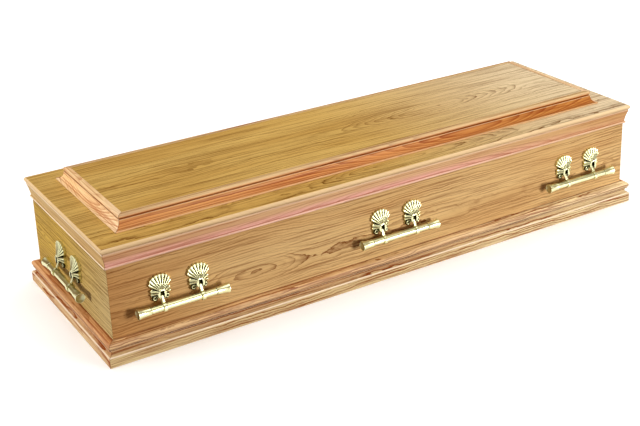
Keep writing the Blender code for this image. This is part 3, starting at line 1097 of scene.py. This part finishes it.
@dataclass
class HingeFit:
    """What a handle's castings share: the hinge, the slot round the arm's eye and the bar's size."""

    standoff: float = 0.0115
    eye_radius: float = 0.0045
    eye_width: float = 0.0084
    slot_clearance: float = 0.0012
    slot_top: float = 0.0112
    trunnion_radius: float = 0.0022
    trunnion_clearance: float = 0.0004
    trunnion_length: float = 0.0030
    arm_reach: float = 0.0399
    bar_radius: float = 0.0100

    @property
    def slot_half(self) -> float:
        """Half the slot's width."""
        return self.eye_width / 2 + self.slot_clearance

    @property
    def pin_end(self) -> float:
        """How far a trunnion reaches from the arm's middle."""
        return self.slot_half + self.trunnion_length

    def pin(self, name: str, radius: float, reach: float) -> bpy.types.Mesh:
        """A round pin on the hinge line."""
        return lathe(name, np.array([(-reach, radius), (reach, radius)]), 24)


@dataclass
class ShellPlate(HingeFit):
    """The cast plate: a fan of curved flutes, leaves below it and a scroll at each foot."""

    crest: float = 0.0580
    shoulder: float = 0.0420
    crown_turn: float = 3.0          # how late the fan's top falls to its shoulder
    flutes: int = 9
    fan_deg: float = 52.0
    scallop: float = 0.0030
    waist: float = 0.0262
    foot: float = 0.0135
    edge: float = 0.0065
    boss_radius: float = 0.0128
    boss_height: float = 0.0215
    belly: float = 1.6               # how quickly the plate falls from the boss to its edge
    flute_depth: float = 0.0032
    curl: float = 0.42               # how much the flutes draw together at the boss, in radians
    scroll_radius: float = 0.0090
    scroll_reach: float = 0.0222
    scroll_deg: float = 126.0
    scroll_height: float = 0.0065
    scroll_turns: float = 1.6        # of its groove
    groove_depth: float = 0.0016
    # Each leaf's middle and spread in degrees, and its tip's distance from the hinge
    leaves: tuple[Place, ...] = ((68.0, 14.0, 0.0320), (91.0, 11.0, 0.0300))
    leaf_turn: float = 0.6
    core_deg: Pair = (112.0, 165.0)  # where the core narrows from waist to foot
    columns: int = 216
    rows: int = 46
    boss_rings: Place = (0.2, 0.6, 0.9)  # inside the boss, as shares of its radius
    side_rings: Pair = (0.55, 0.0)   # down to the back, as shares of the edge's height
    slot_reach: float = 0.03         # how far the slot runs out past the plate

    @staticmethod
    def leaf(turn: Points, middle: float, spread: float) -> Points:
        """1 along a leaf's middle and 0 from its spread on, by a quarter of a wave."""
        return np.cos(np.clip((turn - middle) / spread, -1, 1) * math.pi / 2)

    def ridge(self, turn: Points) -> Points:
        """Finds the crests of the flutes, as the size of cos(pi share flutes / 2), and of the leaves.

        Args:
            turn: Degrees from the top, without sign.

        Returns:
            1 on a crest and 0 between two.
        """
        fan = np.abs(np.cos(math.pi / 2 * turn / self.fan_deg * self.flutes))
        result = np.where(turn <= self.fan_deg, fan, 0.0)
        for middle, spread, _ in self.leaves:
            leaf = self.leaf(turn, middle, spread)
            result = np.where(turn > self.fan_deg, np.maximum(result, leaf), result)
        return result

    def outline(self, turn: Points) -> Points:
        """Draws the plate's edge: the furthest of the fan, the leaves, the scroll and a round core.

        The fan falls by share ^ turn from its crest, and is scalloped by its ridge. A leaf stands
        out by its wave ^ leaf_turn, and the scroll is a circle.

        Args:
            turn: Degrees from the top, without sign.

        Returns:
            The edge's distance from the hinge, like turn.
        """
        share = turn / self.fan_deg
        crown = self.crest - (self.crest - self.shoulder) * share ** self.crown_turn
        fan = np.where(share <= 1.0, crown - self.scallop * (1 - self.ridge(turn)), 0.0)
        core = self.foot + (self.waist - self.foot) * (1 - smooth(*self.core_deg, turn))
        result = np.maximum(fan, core)
        for middle, spread, reach in self.leaves:
            leaf = self.leaf(turn, middle, spread) ** self.leaf_turn
            result = np.maximum(result, core + (reach - core) * leaf)
        off = np.radians(turn - self.scroll_deg)
        inside = np.maximum(self.scroll_radius ** 2 - (self.scroll_reach * np.sin(off)) ** 2, 0.0)
        scroll = np.where(inside > 0.0, self.scroll_reach * np.cos(off) + np.sqrt(inside), 0.0)
        return np.maximum(result, scroll)

    def relief(self, x: Points, z: Points, turn: Points, out: Points) -> tuple[Points, Points]:
        """Works out the plate's height off the wall and how deep in a hollow it lies, which sets its painted
        shade.

        The plate falls as (1 - out) ^ belly from the boss. Flutes and leaves stand on it by their
        ridge, and a scroll is a dome with a spiral groove, low where cos(2 pi turns q - angle) is,
        at an angle round the scroll's middle and q of its radius away.

        Args:
            x: The place across.
            z: The place up.
            turn: Degrees from the top, without sign.
            out: 0 on the boss and 1 on the edge.

        Returns:
            The height and the recess, both like x.
        """
        ridge = self.ridge(turn)
        base = self.edge + (self.boss_height - self.edge) * (1 - out) ** self.belly
        rim = smooth(0.8, 1.0, out)
        depth = self.flute_depth * smooth(0.0, 0.10, out) * (0.30 + 0.70 * out) * (1 - 0.25 * rim)
        height = base + depth * ridge
        # Painted shade between the flutes and the leaves.
        recess = (1 - ridge) ** 2 * smooth(0.0, 0.12, out) * (1 - 0.6 * rim)
        angle = math.radians(self.scroll_deg)
        dx = np.abs(x) - self.scroll_reach * math.sin(angle)
        dz = z - self.scroll_reach * math.cos(angle)
        share = np.hypot(dx, dz) / self.scroll_radius
        spiral = 0.5 + 0.5 * np.cos(2 * math.pi * (self.scroll_turns * share) - np.arctan2(dz, dx))
        dome = np.sqrt(np.clip(1 - share ** 2, 0, 1))
        groove = (1 - spiral) * smooth(0.15, 0.35, share) + 1.4 * (1 - smooth(0.16, 0.30, share))
        scroll = self.edge + self.scroll_height * dome ** 0.6 - self.groove_depth * groove
        inside = share < 1.0
        # The scroll's groove gets painted shade.
        return np.where(inside, scroll, height), np.where(inside, np.clip(groove, 0, 1) * 0.7, recess)

    def grid(self) -> tuple[Points, Points]:
        """Works out the plate's rings, from the boss to its edge and round to its back.

        A ring at a share `out` has the radius boss + (edge - boss) out, and the flutes are turned
        towards the top by curl sin(turn) (1 - out)^2.

        Returns:
            The (rows, columns, 3) points and their recess.
        """
        back = self.standoff - GAP
        turn = np.linspace(-180.0, 180.0, self.columns, endpoint=False)[None]
        size = np.abs(turn)
        inner = len(self.boss_rings)
        out = np.concatenate([np.zeros(inner), np.linspace(0.0, 1.0, self.rows)])[:, None]
        rim = self.outline(size)
        radius = self.boss_radius + (rim - self.boss_radius) * out
        radius[:inner] = np.array(self.boss_rings)[:, None] * self.boss_radius
        angle = np.radians(turn) - self.curl * np.sin(np.radians(turn)) * (1 - out) ** 2
        x, z = radius * np.sin(angle), radius * np.cos(angle)
        height, recess = self.relief(x, z, np.broadcast_to(size, x.shape), np.broadcast_to(out, x.shape))
        front = np.stack([x, back - height, z], axis=-1)
        side = np.stack([front[-1] * (1, 0, 1) + np.array([0, 1, 0]) * (back - height[-1] * share)[:, None]
                         for share in self.side_rings])
        return np.concatenate([front, side]), np.concatenate([recess, np.zeros(side.shape[:2])])

    def mesh(self) -> bpy.types.Mesh:
        """Makes the plate, with the slot and the trunnions' hole cut in it.

        Returns:
            A closed mesh with its recess, which is 1 in the slot, so that the slot is painted dark as shade.
        """
        points, recess = self.grid()
        body = closed_mesh("shell_body", points)
        mark(body, recess)
        floor = self.eye_radius + self.slot_clearance
        box = np.array([(-1, -1), (1, -1), (1, 1), (-1, 1)], dtype=float) * (self.slot_half, 1.0)
        plan = np.column_stack([box[:, 0], np.where(box[:, 1] > 0, floor, -self.slot_reach)])
        slot = closed_mesh("slot", levels(plan, (-self.slot_reach, self.slot_top)))
        loose = self.trunnion_clearance
        hole = self.pin("hole", self.trunnion_radius + loose, self.pin_end + loose)
        made = combined("shell", body, [slot, hole], "DIFFERENCE")
        place = corners(made)
        near = 1e-5
        in_slot = (np.abs(place[:, 0]) < self.slot_half + near) & (place[:, 2] < self.slot_top + near)
        in_slot &= place[:, 1] < floor + near
        value = np.empty(len(place))
        made.attributes[RECESS].data.foreach_get("value", value)
        # The slot is painted dark as shade.
        mark(made, np.where(in_slot, 1.0, value))
        return made


@dataclass
class Arm(HingeFit):
    """The cast arm: an eye with trunnions, a strap that widens and a ring round the bar."""

    strap: float = 0.0060
    ring_wall: float = 0.0032
    ring_width: float = 0.0116
    square: float = 4.0              # the strap's section is a superellipse of this power
    sides: int = 32
    ring_sides: int = 28
    ring_steps: int = 72
    tarnish_start: float = 0.0030    # below the hinge: here the painted shade on the eye, which the shell hides, starts to fade
    tarnish_end: float = 0.0090

    def strap_grid(self) -> Points:
        """Stacks the eye and the strap as rounded oblongs, from the eye's top down into the ring.

        Half the thickness at z is the fourth root of (the eye's circle^4 + the strap's half^4).

        Returns:
            (rows, sides, 3) points.
        """
        eye = self.eye_radius
        foot = -(self.arm_reach - self.bar_radius - self.ring_wall / 2)
        z = np.concatenate([eye * np.cos(np.linspace(0.12, math.pi / 2, 10)), np.linspace(0.0, foot, 22)[1:]])
        round_part = np.sqrt(np.maximum(eye ** 2 - z ** 2, 0.0))
        strap = self.strap / 2 * np.sqrt(np.clip((eye - z) / eye, 0.0, 1.0))
        half = (round_part ** 4 + strap ** 4) ** 0.25
        width = (self.eye_width + (self.ring_width - self.eye_width) * np.clip(z / foot, 0.0, 1.0)) / 2
        angle = round_angles(self.sides)
        x = width[:, None] * filled_out(np.cos(angle), 2 / self.square)
        y = half[:, None] * filled_out(np.sin(angle), 2 / self.square)
        return np.stack([x, y, np.broadcast_to(z[:, None], x.shape)], axis=-1)

    def ring_grid(self) -> Points:
        """Carries the ring's section, an oblong with round corners, round the bar's axis.

        Returns:
            (steps, sides, 3) points.
        """
        angle = round_angles(self.ring_sides)
        across = filled_out(np.cos(angle), 0.5) * self.ring_width / 2
        deep = filled_out(np.sin(angle), 0.6) * self.ring_wall / 2
        radius = self.bar_radius + GAP + self.ring_wall / 2 + deep
        round_bar = round_angles(self.ring_steps)[:, None]
        y, z = radius * np.sin(round_bar), radius * np.cos(round_bar) - self.arm_reach
        return np.stack([np.broadcast_to(across, y.shape), y, z], axis=-1)

    def mesh(self) -> bpy.types.Mesh:
        """Makes the eye, strap, ring and trunnions one casting, with painted shade where the shell hides it.

        Returns:
            A closed mesh with its recess.
        """
        strap = closed_mesh("strap", self.strap_grid())
        ring = closed_mesh("ring", self.ring_grid(), endless=True)
        pin = self.pin("trunnions", self.trunnion_radius, self.pin_end)
        made = combined("arm", strap, [ring, pin], "UNION")
        # Painted shade on the eye inside the shell's slot.
        mark(made, 1.0 - smooth(self.tarnish_start, self.tarnish_end, -corners(made)[:, 2]))
        return made


@dataclass
class Bar(HingeFit):
    """The round bar with a collar at each end piece, which flares to a dished mouth."""

    length: float = 0.2860
    end_length: float = 0.0400
    collar_radius: float = 0.0114
    neck_radius: float = 0.0124
    flare_length: float = 0.0180
    flare_turn: float = 1.5          # how late the flare opens
    mouth_radius: float = 0.0152
    lip: float = 0.0016
    dish_edge: float = 0.0006        # how far the dish's edge lies in from the end
    dish_depth: float = 0.0040
    # The dish is darkened as a painted reflection of the dark wall.
    dish_dark_reflection: float = 0.22
    groove: float = 0.0010
    # The groove is darkened as painted shade.
    groove_shade: float = 0.8
    sides: int = 64

    def profile(self) -> tuple[Points, Points]:
        """Draws the section from the left end to the right.

        The flare is neck + (mouth - neck) s ^ turn, and the dish falls by depth (1 - (r / edge)^2).

        Returns:
            (N, 2) points (x, radius) and the recess of each.
        """
        half = self.length / 2
        start = half - self.end_length
        low = self.bar_radius - self.groove
        groove = np.array([(start - 0.0012, self.bar_radius), (start - 0.0004, low), (start + 0.0002, low)])
        collar = arc((start + 0.0016, self.collar_radius - 0.0012), 0.0013, 200, 60, 6)
        share = np.linspace(0.0, 1.0, 15)
        opening = (self.mouth_radius - self.neck_radius) * share ** self.flare_turn
        flare_x = half - self.lip - self.flare_length * (1 - share)
        flare = np.column_stack([flare_x, self.neck_radius + opening])
        lip = arc((half - self.lip / 2, self.mouth_radius - self.lip / 2), self.lip / 2, 60, -60, 6)
        edge = self.mouth_radius - self.lip
        radius = np.linspace(edge, 0.0012, 10)
        fall = self.dish_edge + (self.dish_depth - self.dish_edge) * (1 - (radius / edge) ** 2)
        dish = np.column_stack([half - fall, radius])
        parts = ((groove[:1], 0.0), (groove[1:], self.groove_shade), (collar, 0.0), (flare, 0.0),
                 (lip, 0.0), (dish, self.dish_dark_reflection))
        side = np.concatenate([part for part, _ in parts])
        recess = np.concatenate([np.full(len(part), value) for part, value in parts])
        return np.concatenate([side[::-1] * (-1.0, 1.0), side]), np.concatenate([recess[::-1], recess])

    def mesh(self) -> bpy.types.Mesh:
        """Makes the bar on its own axis.

        Returns:
            A closed mesh with its recess.
        """
        profile, recess = self.profile()
        made = lathe("bar", profile, self.sides)
        mark(made, np.repeat(recess, self.sides))
        return made


@dataclass
class Handles:
    """The eight bar handles and where they hang."""

    joinery: Joinery = field(default_factory=Joinery)
    shell: ShellPlate = field(default_factory=ShellPlate)
    arm: Arm = field(default_factory=Arm)
    bar: Bar = field(default_factory=Bar)
    side_spacing: float = 0.7470
    shell_spacing: float = 0.1200
    height: float = 0.1800
    rest_deg: float = 25.2           # outwards from hanging straight down

    def places(self) -> list[tuple[str, Vector, float]]:
        """Lists where the handles hang.

        Returns:
            Each handle's name, the middle of its hinge line and its turn about Z in degrees.
        """
        out = self.joinery.half_width + self.shell.standoff
        end = self.joinery.half_length + self.shell.standoff
        found = []
        for label, x in (("left", -self.side_spacing), ("middle", 0.0), ("right", self.side_spacing)):
            found.append((f"front_{label}", Vector((x, -out, self.height)), 0.0))
            found.append((f"back_{label}", Vector((x, out, self.height)), 180.0))
        found.append(("end_left", Vector((-end, 0.0, self.height)), -90.0))
        found.append(("end_right", Vector((end, 0.0, self.height)), 90.0))
        return found

    def build(self, finish: bpy.types.Material) -> None:
        """Builds every handle from one shell, one arm and one bar, copied into place.

        Args:
            finish: The brass.
        """
        shell, arm, bar = self.shell.mesh(), self.arm.mesh(), self.bar.mesh()
        swing = Matrix.Rotation(-math.radians(self.rest_deg), 4, "X")
        for name, place, turn in self.places():
            stand = Matrix.Translation(place) @ Matrix.Rotation(math.radians(turn), 4, "Z")
            moving = f"handle_{name}"
            for letter, sign in (("a", -1.0), ("b", 1.0)):
                beside = stand @ Matrix.Translation((sign * self.shell_spacing / 2, 0.0, 0.0))
                self.hang(f"shell_{name}_{letter}", shell, beside, finish, ROOT_BODY)
                self.hang(f"arm_{name}_{letter}", arm, beside @ swing, finish, moving)
            hung = stand @ swing @ Matrix.Translation((0.0, 0.0, -self.arm.arm_reach))
            self.hang(f"bar_{name}", bar, hung, finish, moving)

    @staticmethod
    def hang(
        node: str, pattern: bpy.types.Mesh, place: Matrix, finish: bpy.types.Material, body: str
    ) -> None:
        """Copies a casting's mesh, moves the copy to its place and dresses the node.

        Args:
            node: The solid that it stands for.
            pattern: The casting's mesh, facing -Y round its hinge line.
            place: Where the copy goes.
            finish: The brass.
            body: The body that it moves with.
        """
        mesh = pattern.copy()
        mesh.name = node
        mesh.transform(place)
        dress(node, mesh, finish, body)


# The woods


def woods() -> dict[str, Oak]:
    """Picks the oak of each wooden node: veneers on the boards, solid oak on the mouldings.

    Returns:
        Each node's finish, by its name.
    """
    box = Joinery()
    corner = box.spans()
    over = box.spans(overhang=box.lid_overhang)
    veneer = Oak(
        "side_veneer", tone(216, 180, 124), tone(112, 60, 24), tone(194, 148, 92), (-0.50, -0.287, 0.150),
        ring_gap=0.0074, swirl=0.040, contrast=1.35, late_turn=3.4, bold=1.3, eye=(-0.034, 0.0),
        # Painted shade: the side darkens towards its left end and its foot.
        flushes=(Flush(tone(178, 118, 60), (-0.50, 0.0, 0.16), (-1.06, 0.0, -0.10), 0.7),), seed=1.0,
    )
    top = Oak(
        "lid_veneer", tone(212, 174, 98), tone(112, 70, 22), tone(190, 146, 72), (0.36, -0.02, 0.388),
        ring_gap=0.0078, swirl=0.060, contrast=1.25, late_turn=3.2, bold=1.2, eye=(0.0, 0.060),
        eye_length=0.45, streaks=0.60,
        # Painted reflection: the lid pales towards its right end like a glare, and the boards cut from this
        # oak share it.
        flushes=(Flush(tone(232, 214, 180), (-0.1, 0.0, 0.0), (1.05, 0.0, 0.0), 0.9),), seed=2.0,
    )
    end = replace(
        veneer, name="end_veneer", pale=tone(202, 166, 78), deep=tone(104, 70, 22), blush=tone(184, 150, 74),
        heart=(0.05, 0.93, 0.20), contrast=1.5, grain=Grain.ACROSS, eye=(0.0, 0.0), seed=3.0,
        # Painted light: the end pales and greys towards its front corner and its foot.
        flushes=(Flush(tone(206, 184, 136), (0.0, 0.10, 0.28), (0.0, -0.32, 0.02), 0.8),),
    )
    red = Oak(
        "frame_oak", tone(218, 164, 104), tone(120, 44, 12), tone(194, 118, 60), (0.36, -0.200, 0.374),
        ring_gap=0.0064, swirl=0.018, contrast=1.05, eye=(-0.055, -0.026), eye_length=0.66,
        late_turn=1.7, bold=0.6, ripple=0.35, streaks=0.60, joint=over, edge_highlight=0.45, highlight_colour=tone(236, 208, 164),
        flushes=(Flush(tone(180, 118, 54), (-0.1, 0.0, 0.0), (0.7, 0.0, 0.0), 0.9),
                 # Painted highlight: the frame's bead pales at its top.
                 Flush(tone(206, 176, 124), (0.0, 0.0, 0.3950), (0.0, 0.0, 0.4020), 0.85)), seed=4.0,
    )
    pink = Oak(
        "rim_oak", tone(226, 186, 140), tone(160, 92, 54), tone(208, 156, 114), (0.10, -0.312, 0.30),
        swirl=0.016, contrast=1.1, eye=(0.03, 0.010), eye_length=0.70, ripple=0.8, edge_highlight=0.35, hollow_shade=0.35,
        joint=corner,
        # Painted reflection: the cove turns pink towards its foot and fades to tan towards the right end.
        flushes=(Flush(tone(236, 176, 164), (0.0, 0.0, 0.328), (0.0, 0.0, 0.304), 0.9),
                 Flush(tone(208, 164, 106), (0.0, 0.0, 0.0), (0.95, 0.0, 0.0), 0.75)), seed=5.0,
    )
    foot = Oak(
        "base_oak", tone(230, 194, 140), tone(138, 76, 34), tone(212, 160, 104), (0.25, -0.290, 0.10),
        swirl=0.060, ring_gap=0.0085, contrast=1.6, eye=(0.045, 0.010), eye_length=0.60, late_turn=1.8,
        bold=0.7, streaks=0.90, joint=corner,
        flushes=(Flush(tone(224, 202, 150), (0.0, 0.0, 0.048), (0.0, 0.0, 0.026), 0.85),
                 Flush(tone(246, 228, 178), (-0.3, 0.0, 0.0), (0.95, 0.0, 0.0), 0.75)), seed=6.0,
    )
    found = {
        "side_panel_front": veneer,
        "side_panel_back": replace(
            veneer, name="back_veneer", heart=(0.45, 0.287, 0.170), eye=(0.034, 0.0), seed=7.0
        ),
        "end_panel_left": end,
        "end_panel_right": replace(end, name="right_end_veneer", heart=(-0.08, -0.90, 0.16), seed=8.0),
        "base_board": replace(top, name="bottom_veneer", heart=(0.10, 0.08, -0.06), seed=9.0),
        "lid_board": replace(
            top, name="lid_board_veneer", heart=(0.10, -0.262, 0.345), eye=(0.0, 0.045), contrast=1.5,
            # The lipping is paler oak, and its cream is partly a painted highlight on the rounded nose.
            bold=0.9, seed=10.0, lipping=Lipping(over[0] - 0.0050, over[1] - 0.0050, tone(226, 196, 152)),
        ),
        "lid_panel": top,
        "lid_frame_front": red,
        "lid_frame_back": replace(
            red, name="back_frame_oak", heart=(-0.35, 0.196, 0.376), eye=(0.055, -0.020), seed=11.0
        ),
        "lid_frame_left": replace(
            red, name="left_frame_oak", pale=tone(252, 226, 178), deep=tone(170, 90, 36),
            blush=tone(238, 192, 130), heart=(0.02, 0.872, 0.376), eye=(0.03, -0.03), eye_length=0.30,
            contrast=1.0, grain=Grain.ACROSS, seed=12.0,
            # Painted highlight: the run pales towards its front end.
            flushes=(Flush(tone(244, 216, 180), (0.0, -0.02, 0.0), (0.0, -0.23, 0.0), 0.6),),
        ),
        "rim_moulding_front": pink,
        "rim_moulding_back": replace(pink, name="back_rim_oak", heart=(0.2, 0.30, 0.26), seed=13.0),
        "rim_moulding_left": replace(
            pink, name="left_rim_oak", pale=tone(220, 190, 136), deep=tone(170, 122, 68),
            blush=tone(208, 170, 112), heart=(0.0, 0.97, 0.26), grain=Grain.ACROSS, edge_highlight=0.9, flushes=(),
            seed=14.0,
        ),
        "base_moulding_front": foot,
        "base_moulding_back": replace(foot, name="back_base_oak", heart=(-0.3, 0.30, 0.01), seed=15.0),
        "base_moulding_left": replace(
            foot, name="left_base_oak", pale=tone(216, 166, 112), deep=tone(150, 78, 36),
            blush=tone(198, 130, 76), heart=(0.0, 0.97, 0.02), eye=(0.02, 0.01), eye_length=0.35,
            grain=Grain.ACROSS, seed=16.0,
            flushes=(Flush(tone(226, 196, 150), (0.0, 0.0, 0.048), (0.0, 0.0, 0.026), 0.85),),
        ),
    }
    for kind, place in (("lid_frame", (0.03, -0.872, 0.372)), ("rim_moulding", (0.05, -0.97, 0.27)),
                        ("base_moulding", (-0.04, -0.97, 0.02))):
        left = found[f"{kind}_left"]
        name = left.name.replace("left", "right")
        found[f"{kind}_right"] = replace(left, name=name, heart=place, seed=left.seed + 6)
    return found


# The studio


@dataclass(frozen=True)
class SoftBox:
    """A square soft light."""

    name: str
    place: Place
    aim: Place
    size: float
    watts: float
    mirrored: bool = True

    def hang(self) -> None:
        """Hangs the light and turns it to its aim."""
        lamp = bpy.data.lights.new(self.name, "AREA")
        lamp.shape = "SQUARE"
        lamp.size = self.size
        lamp.energy = self.watts
        thing = placed(self.name, lamp)
        thing.location = self.place
        thing.rotation_euler = (Vector(self.aim) - Vector(self.place)).to_track_quat("-Z", "Y").to_euler()
        thing.visible_camera = False
        thing.visible_glossy = self.mirrored


@dataclass
class Studio:
    """A white floor, white surroundings, soft lights and the camera."""

    floor_reach: float = 60.0
    white: float = 0.96              # how much light the floor throws back
    camera_place: Place = (-2.0054, -3.2447, 1.8526)
    azimuth: float = -30.6334
    elevation: float = 20.6863
    roll: float = -2.0417
    lens: float = 70.39
    film: float = 36.0
    shift: float = -0.1375
    far: float = 200.0               # the camera sees no further than this
    ceiling: float = 0.55            # the room's light overhead
    band: Colour = (0.23, 0.135, 0.058)  # warm light from below the ceiling
    below: Colour = (0.075, 0.030, 0.008)
    ceiling_edge: Pair = (0.48, 0.85)  # how steeply up the band ends and the ceiling starts
    skyline: Pair = (-0.01, 0.0)
    noon: float = 1.42               # straight down
    noon_spread: float = 60.0
    floor_glow: float = 0.20
    backdrop_height: float = 30.0
    lights: tuple[SoftBox, ...] = (
        SoftBox("key", (2.0, -5.1, 0.62), (0.0, -0.3, 0.18), 1.4, 246.0),
        SoftBox("left_key", (-5.4, 0.9, 0.45), (-0.96, 0.0, 0.18), 0.6, 138.0, mirrored=False),
        SoftBox("back_right", (4.9, 4.6, 1.2), (0.4, 0.3, 0.2), 1.8, 190.0, mirrored=False),
        SoftBox("back_fill", (-2.2, 5.6, 0.9), (-0.2, 0.3, 0.2), 1.8, 130.0, mirrored=False),
        SoftBox("right_fill", (5.6, -0.5, 0.9), (0.96, 0.0, 0.2), 1.6, 130.0),
    )

    def build(self) -> None:
        """Lays the floor, lights it and stands the camera."""
        reach = self.floor_reach
        plan = np.array([(-reach, -reach), (reach, -reach), (reach, reach), (-reach, reach)])
        walls = levels(plan, (-GAP, self.backdrop_height)).reshape(-1, 3)
        floor = self.stand("floor", walls[:4], [(0, 1, 2, 3)], self.white, self.floor_glow)
        floor.visible_diffuse = False
        sides = [(one, one + 4, (one + 1) % 4 + 4, (one + 1) % 4) for one in range(4)]
        backdrop = self.stand("backdrop", walls, sides, 0.0, 1.0)
        for ray in ("diffuse", "glossy", "transmission", "shadow"):
            setattr(backdrop, f"visible_{ray}", False)
        world = bpy.data.worlds.new("studio")
        world.use_nodes = True
        bpy.context.scene.world = world
        net = Net(world.node_tree)
        rise = net.parts(net.add("ShaderNodeTexCoord").outputs["Generated"])[2]
        upper = net.blend(rise.step(*self.ceiling_edge), self.band, (self.ceiling,) * 3)
        room = net.blend(rise.step(*self.skyline), self.below, upper)
        glow = net.add("ShaderNodeBackground", {}, {"Color": room})
        net.add("ShaderNodeOutputWorld", {}, {"Surface": glow.outputs[0]})
        noon = bpy.data.lights.new("noon", "SUN")
        noon.energy = self.noon
        noon.angle = math.radians(self.noon_spread)
        placed("noon", noon)
        for light in self.lights:
            light.hang()
        self.stand_camera()
        view = bpy.context.scene.view_settings
        view.view_transform = "Standard"
        view.look = "None"

    @staticmethod
    def stand(
        name: str, points: Points, faces: list[tuple[int, ...]], white: float, glow: float
    ) -> bpy.types.Object:
        """Adds a plain white surface of the room.

        Args:
            name: Its name.
            points: (N, 3) corners.
            faces: Its faces, as corner numbers.
            white: How much light it throws back.
            glow: How much light it gives.

        Returns:
            The object.
        """
        mesh = bpy.data.meshes.new(name)
        mesh.from_pydata(points.tolist(), [], faces)
        thing = placed(name, mesh)
        paint, net = new_material(f"{name}_white")
        net.surface({
            "Base Color": (white,) * 3, "Roughness": 0.9, "Specular IOR Level": 0.1,
            "Emission Color": (1.0, 1.0, 1.0), "Emission Strength": glow,
        })
        mesh.materials.append(paint)
        return thing

    def stand_camera(self) -> None:
        """Stands the camera: it looks along its azimuth, down by its elevation, and is rolled."""
        (east, north), (level, fall), (upright, tilt) = (
            (math.cos(math.radians(part)), math.sin(math.radians(part)))
            for part in (self.azimuth, self.elevation, self.roll)
        )
        ahead = Vector((-north * level, east * level, -fall))
        right = Vector((east, north, 0.0))
        above = right.cross(ahead)
        turned = Matrix((right * upright + above * tilt, above * upright - right * tilt, -ahead))
        lens = bpy.data.cameras.new("camera")
        lens.lens = self.lens
        lens.sensor_width = self.film
        lens.shift_y = self.shift
        lens.clip_end = self.far
        camera = placed("camera", lens)
        camera.matrix_world = Matrix.Translation(self.camera_place) @ turned.transposed().to_4x4()
        bpy.context.scene.camera = camera


def main() -> None:
    """Builds the coffin piece by piece, then its studio."""
    logging.basicConfig(level=logging.INFO, format="%(name)s: %(message)s")
    finishes = woods()
    for part in (Panelling(), BaseMoulding(), RimMoulding(), Lid()):
        LOG.info("building the %s", type(part).__name__)
        part.build(finishes)
    Handles().build(Brass().material())
    Studio().build()


if __name__ == "__main__":
    main()
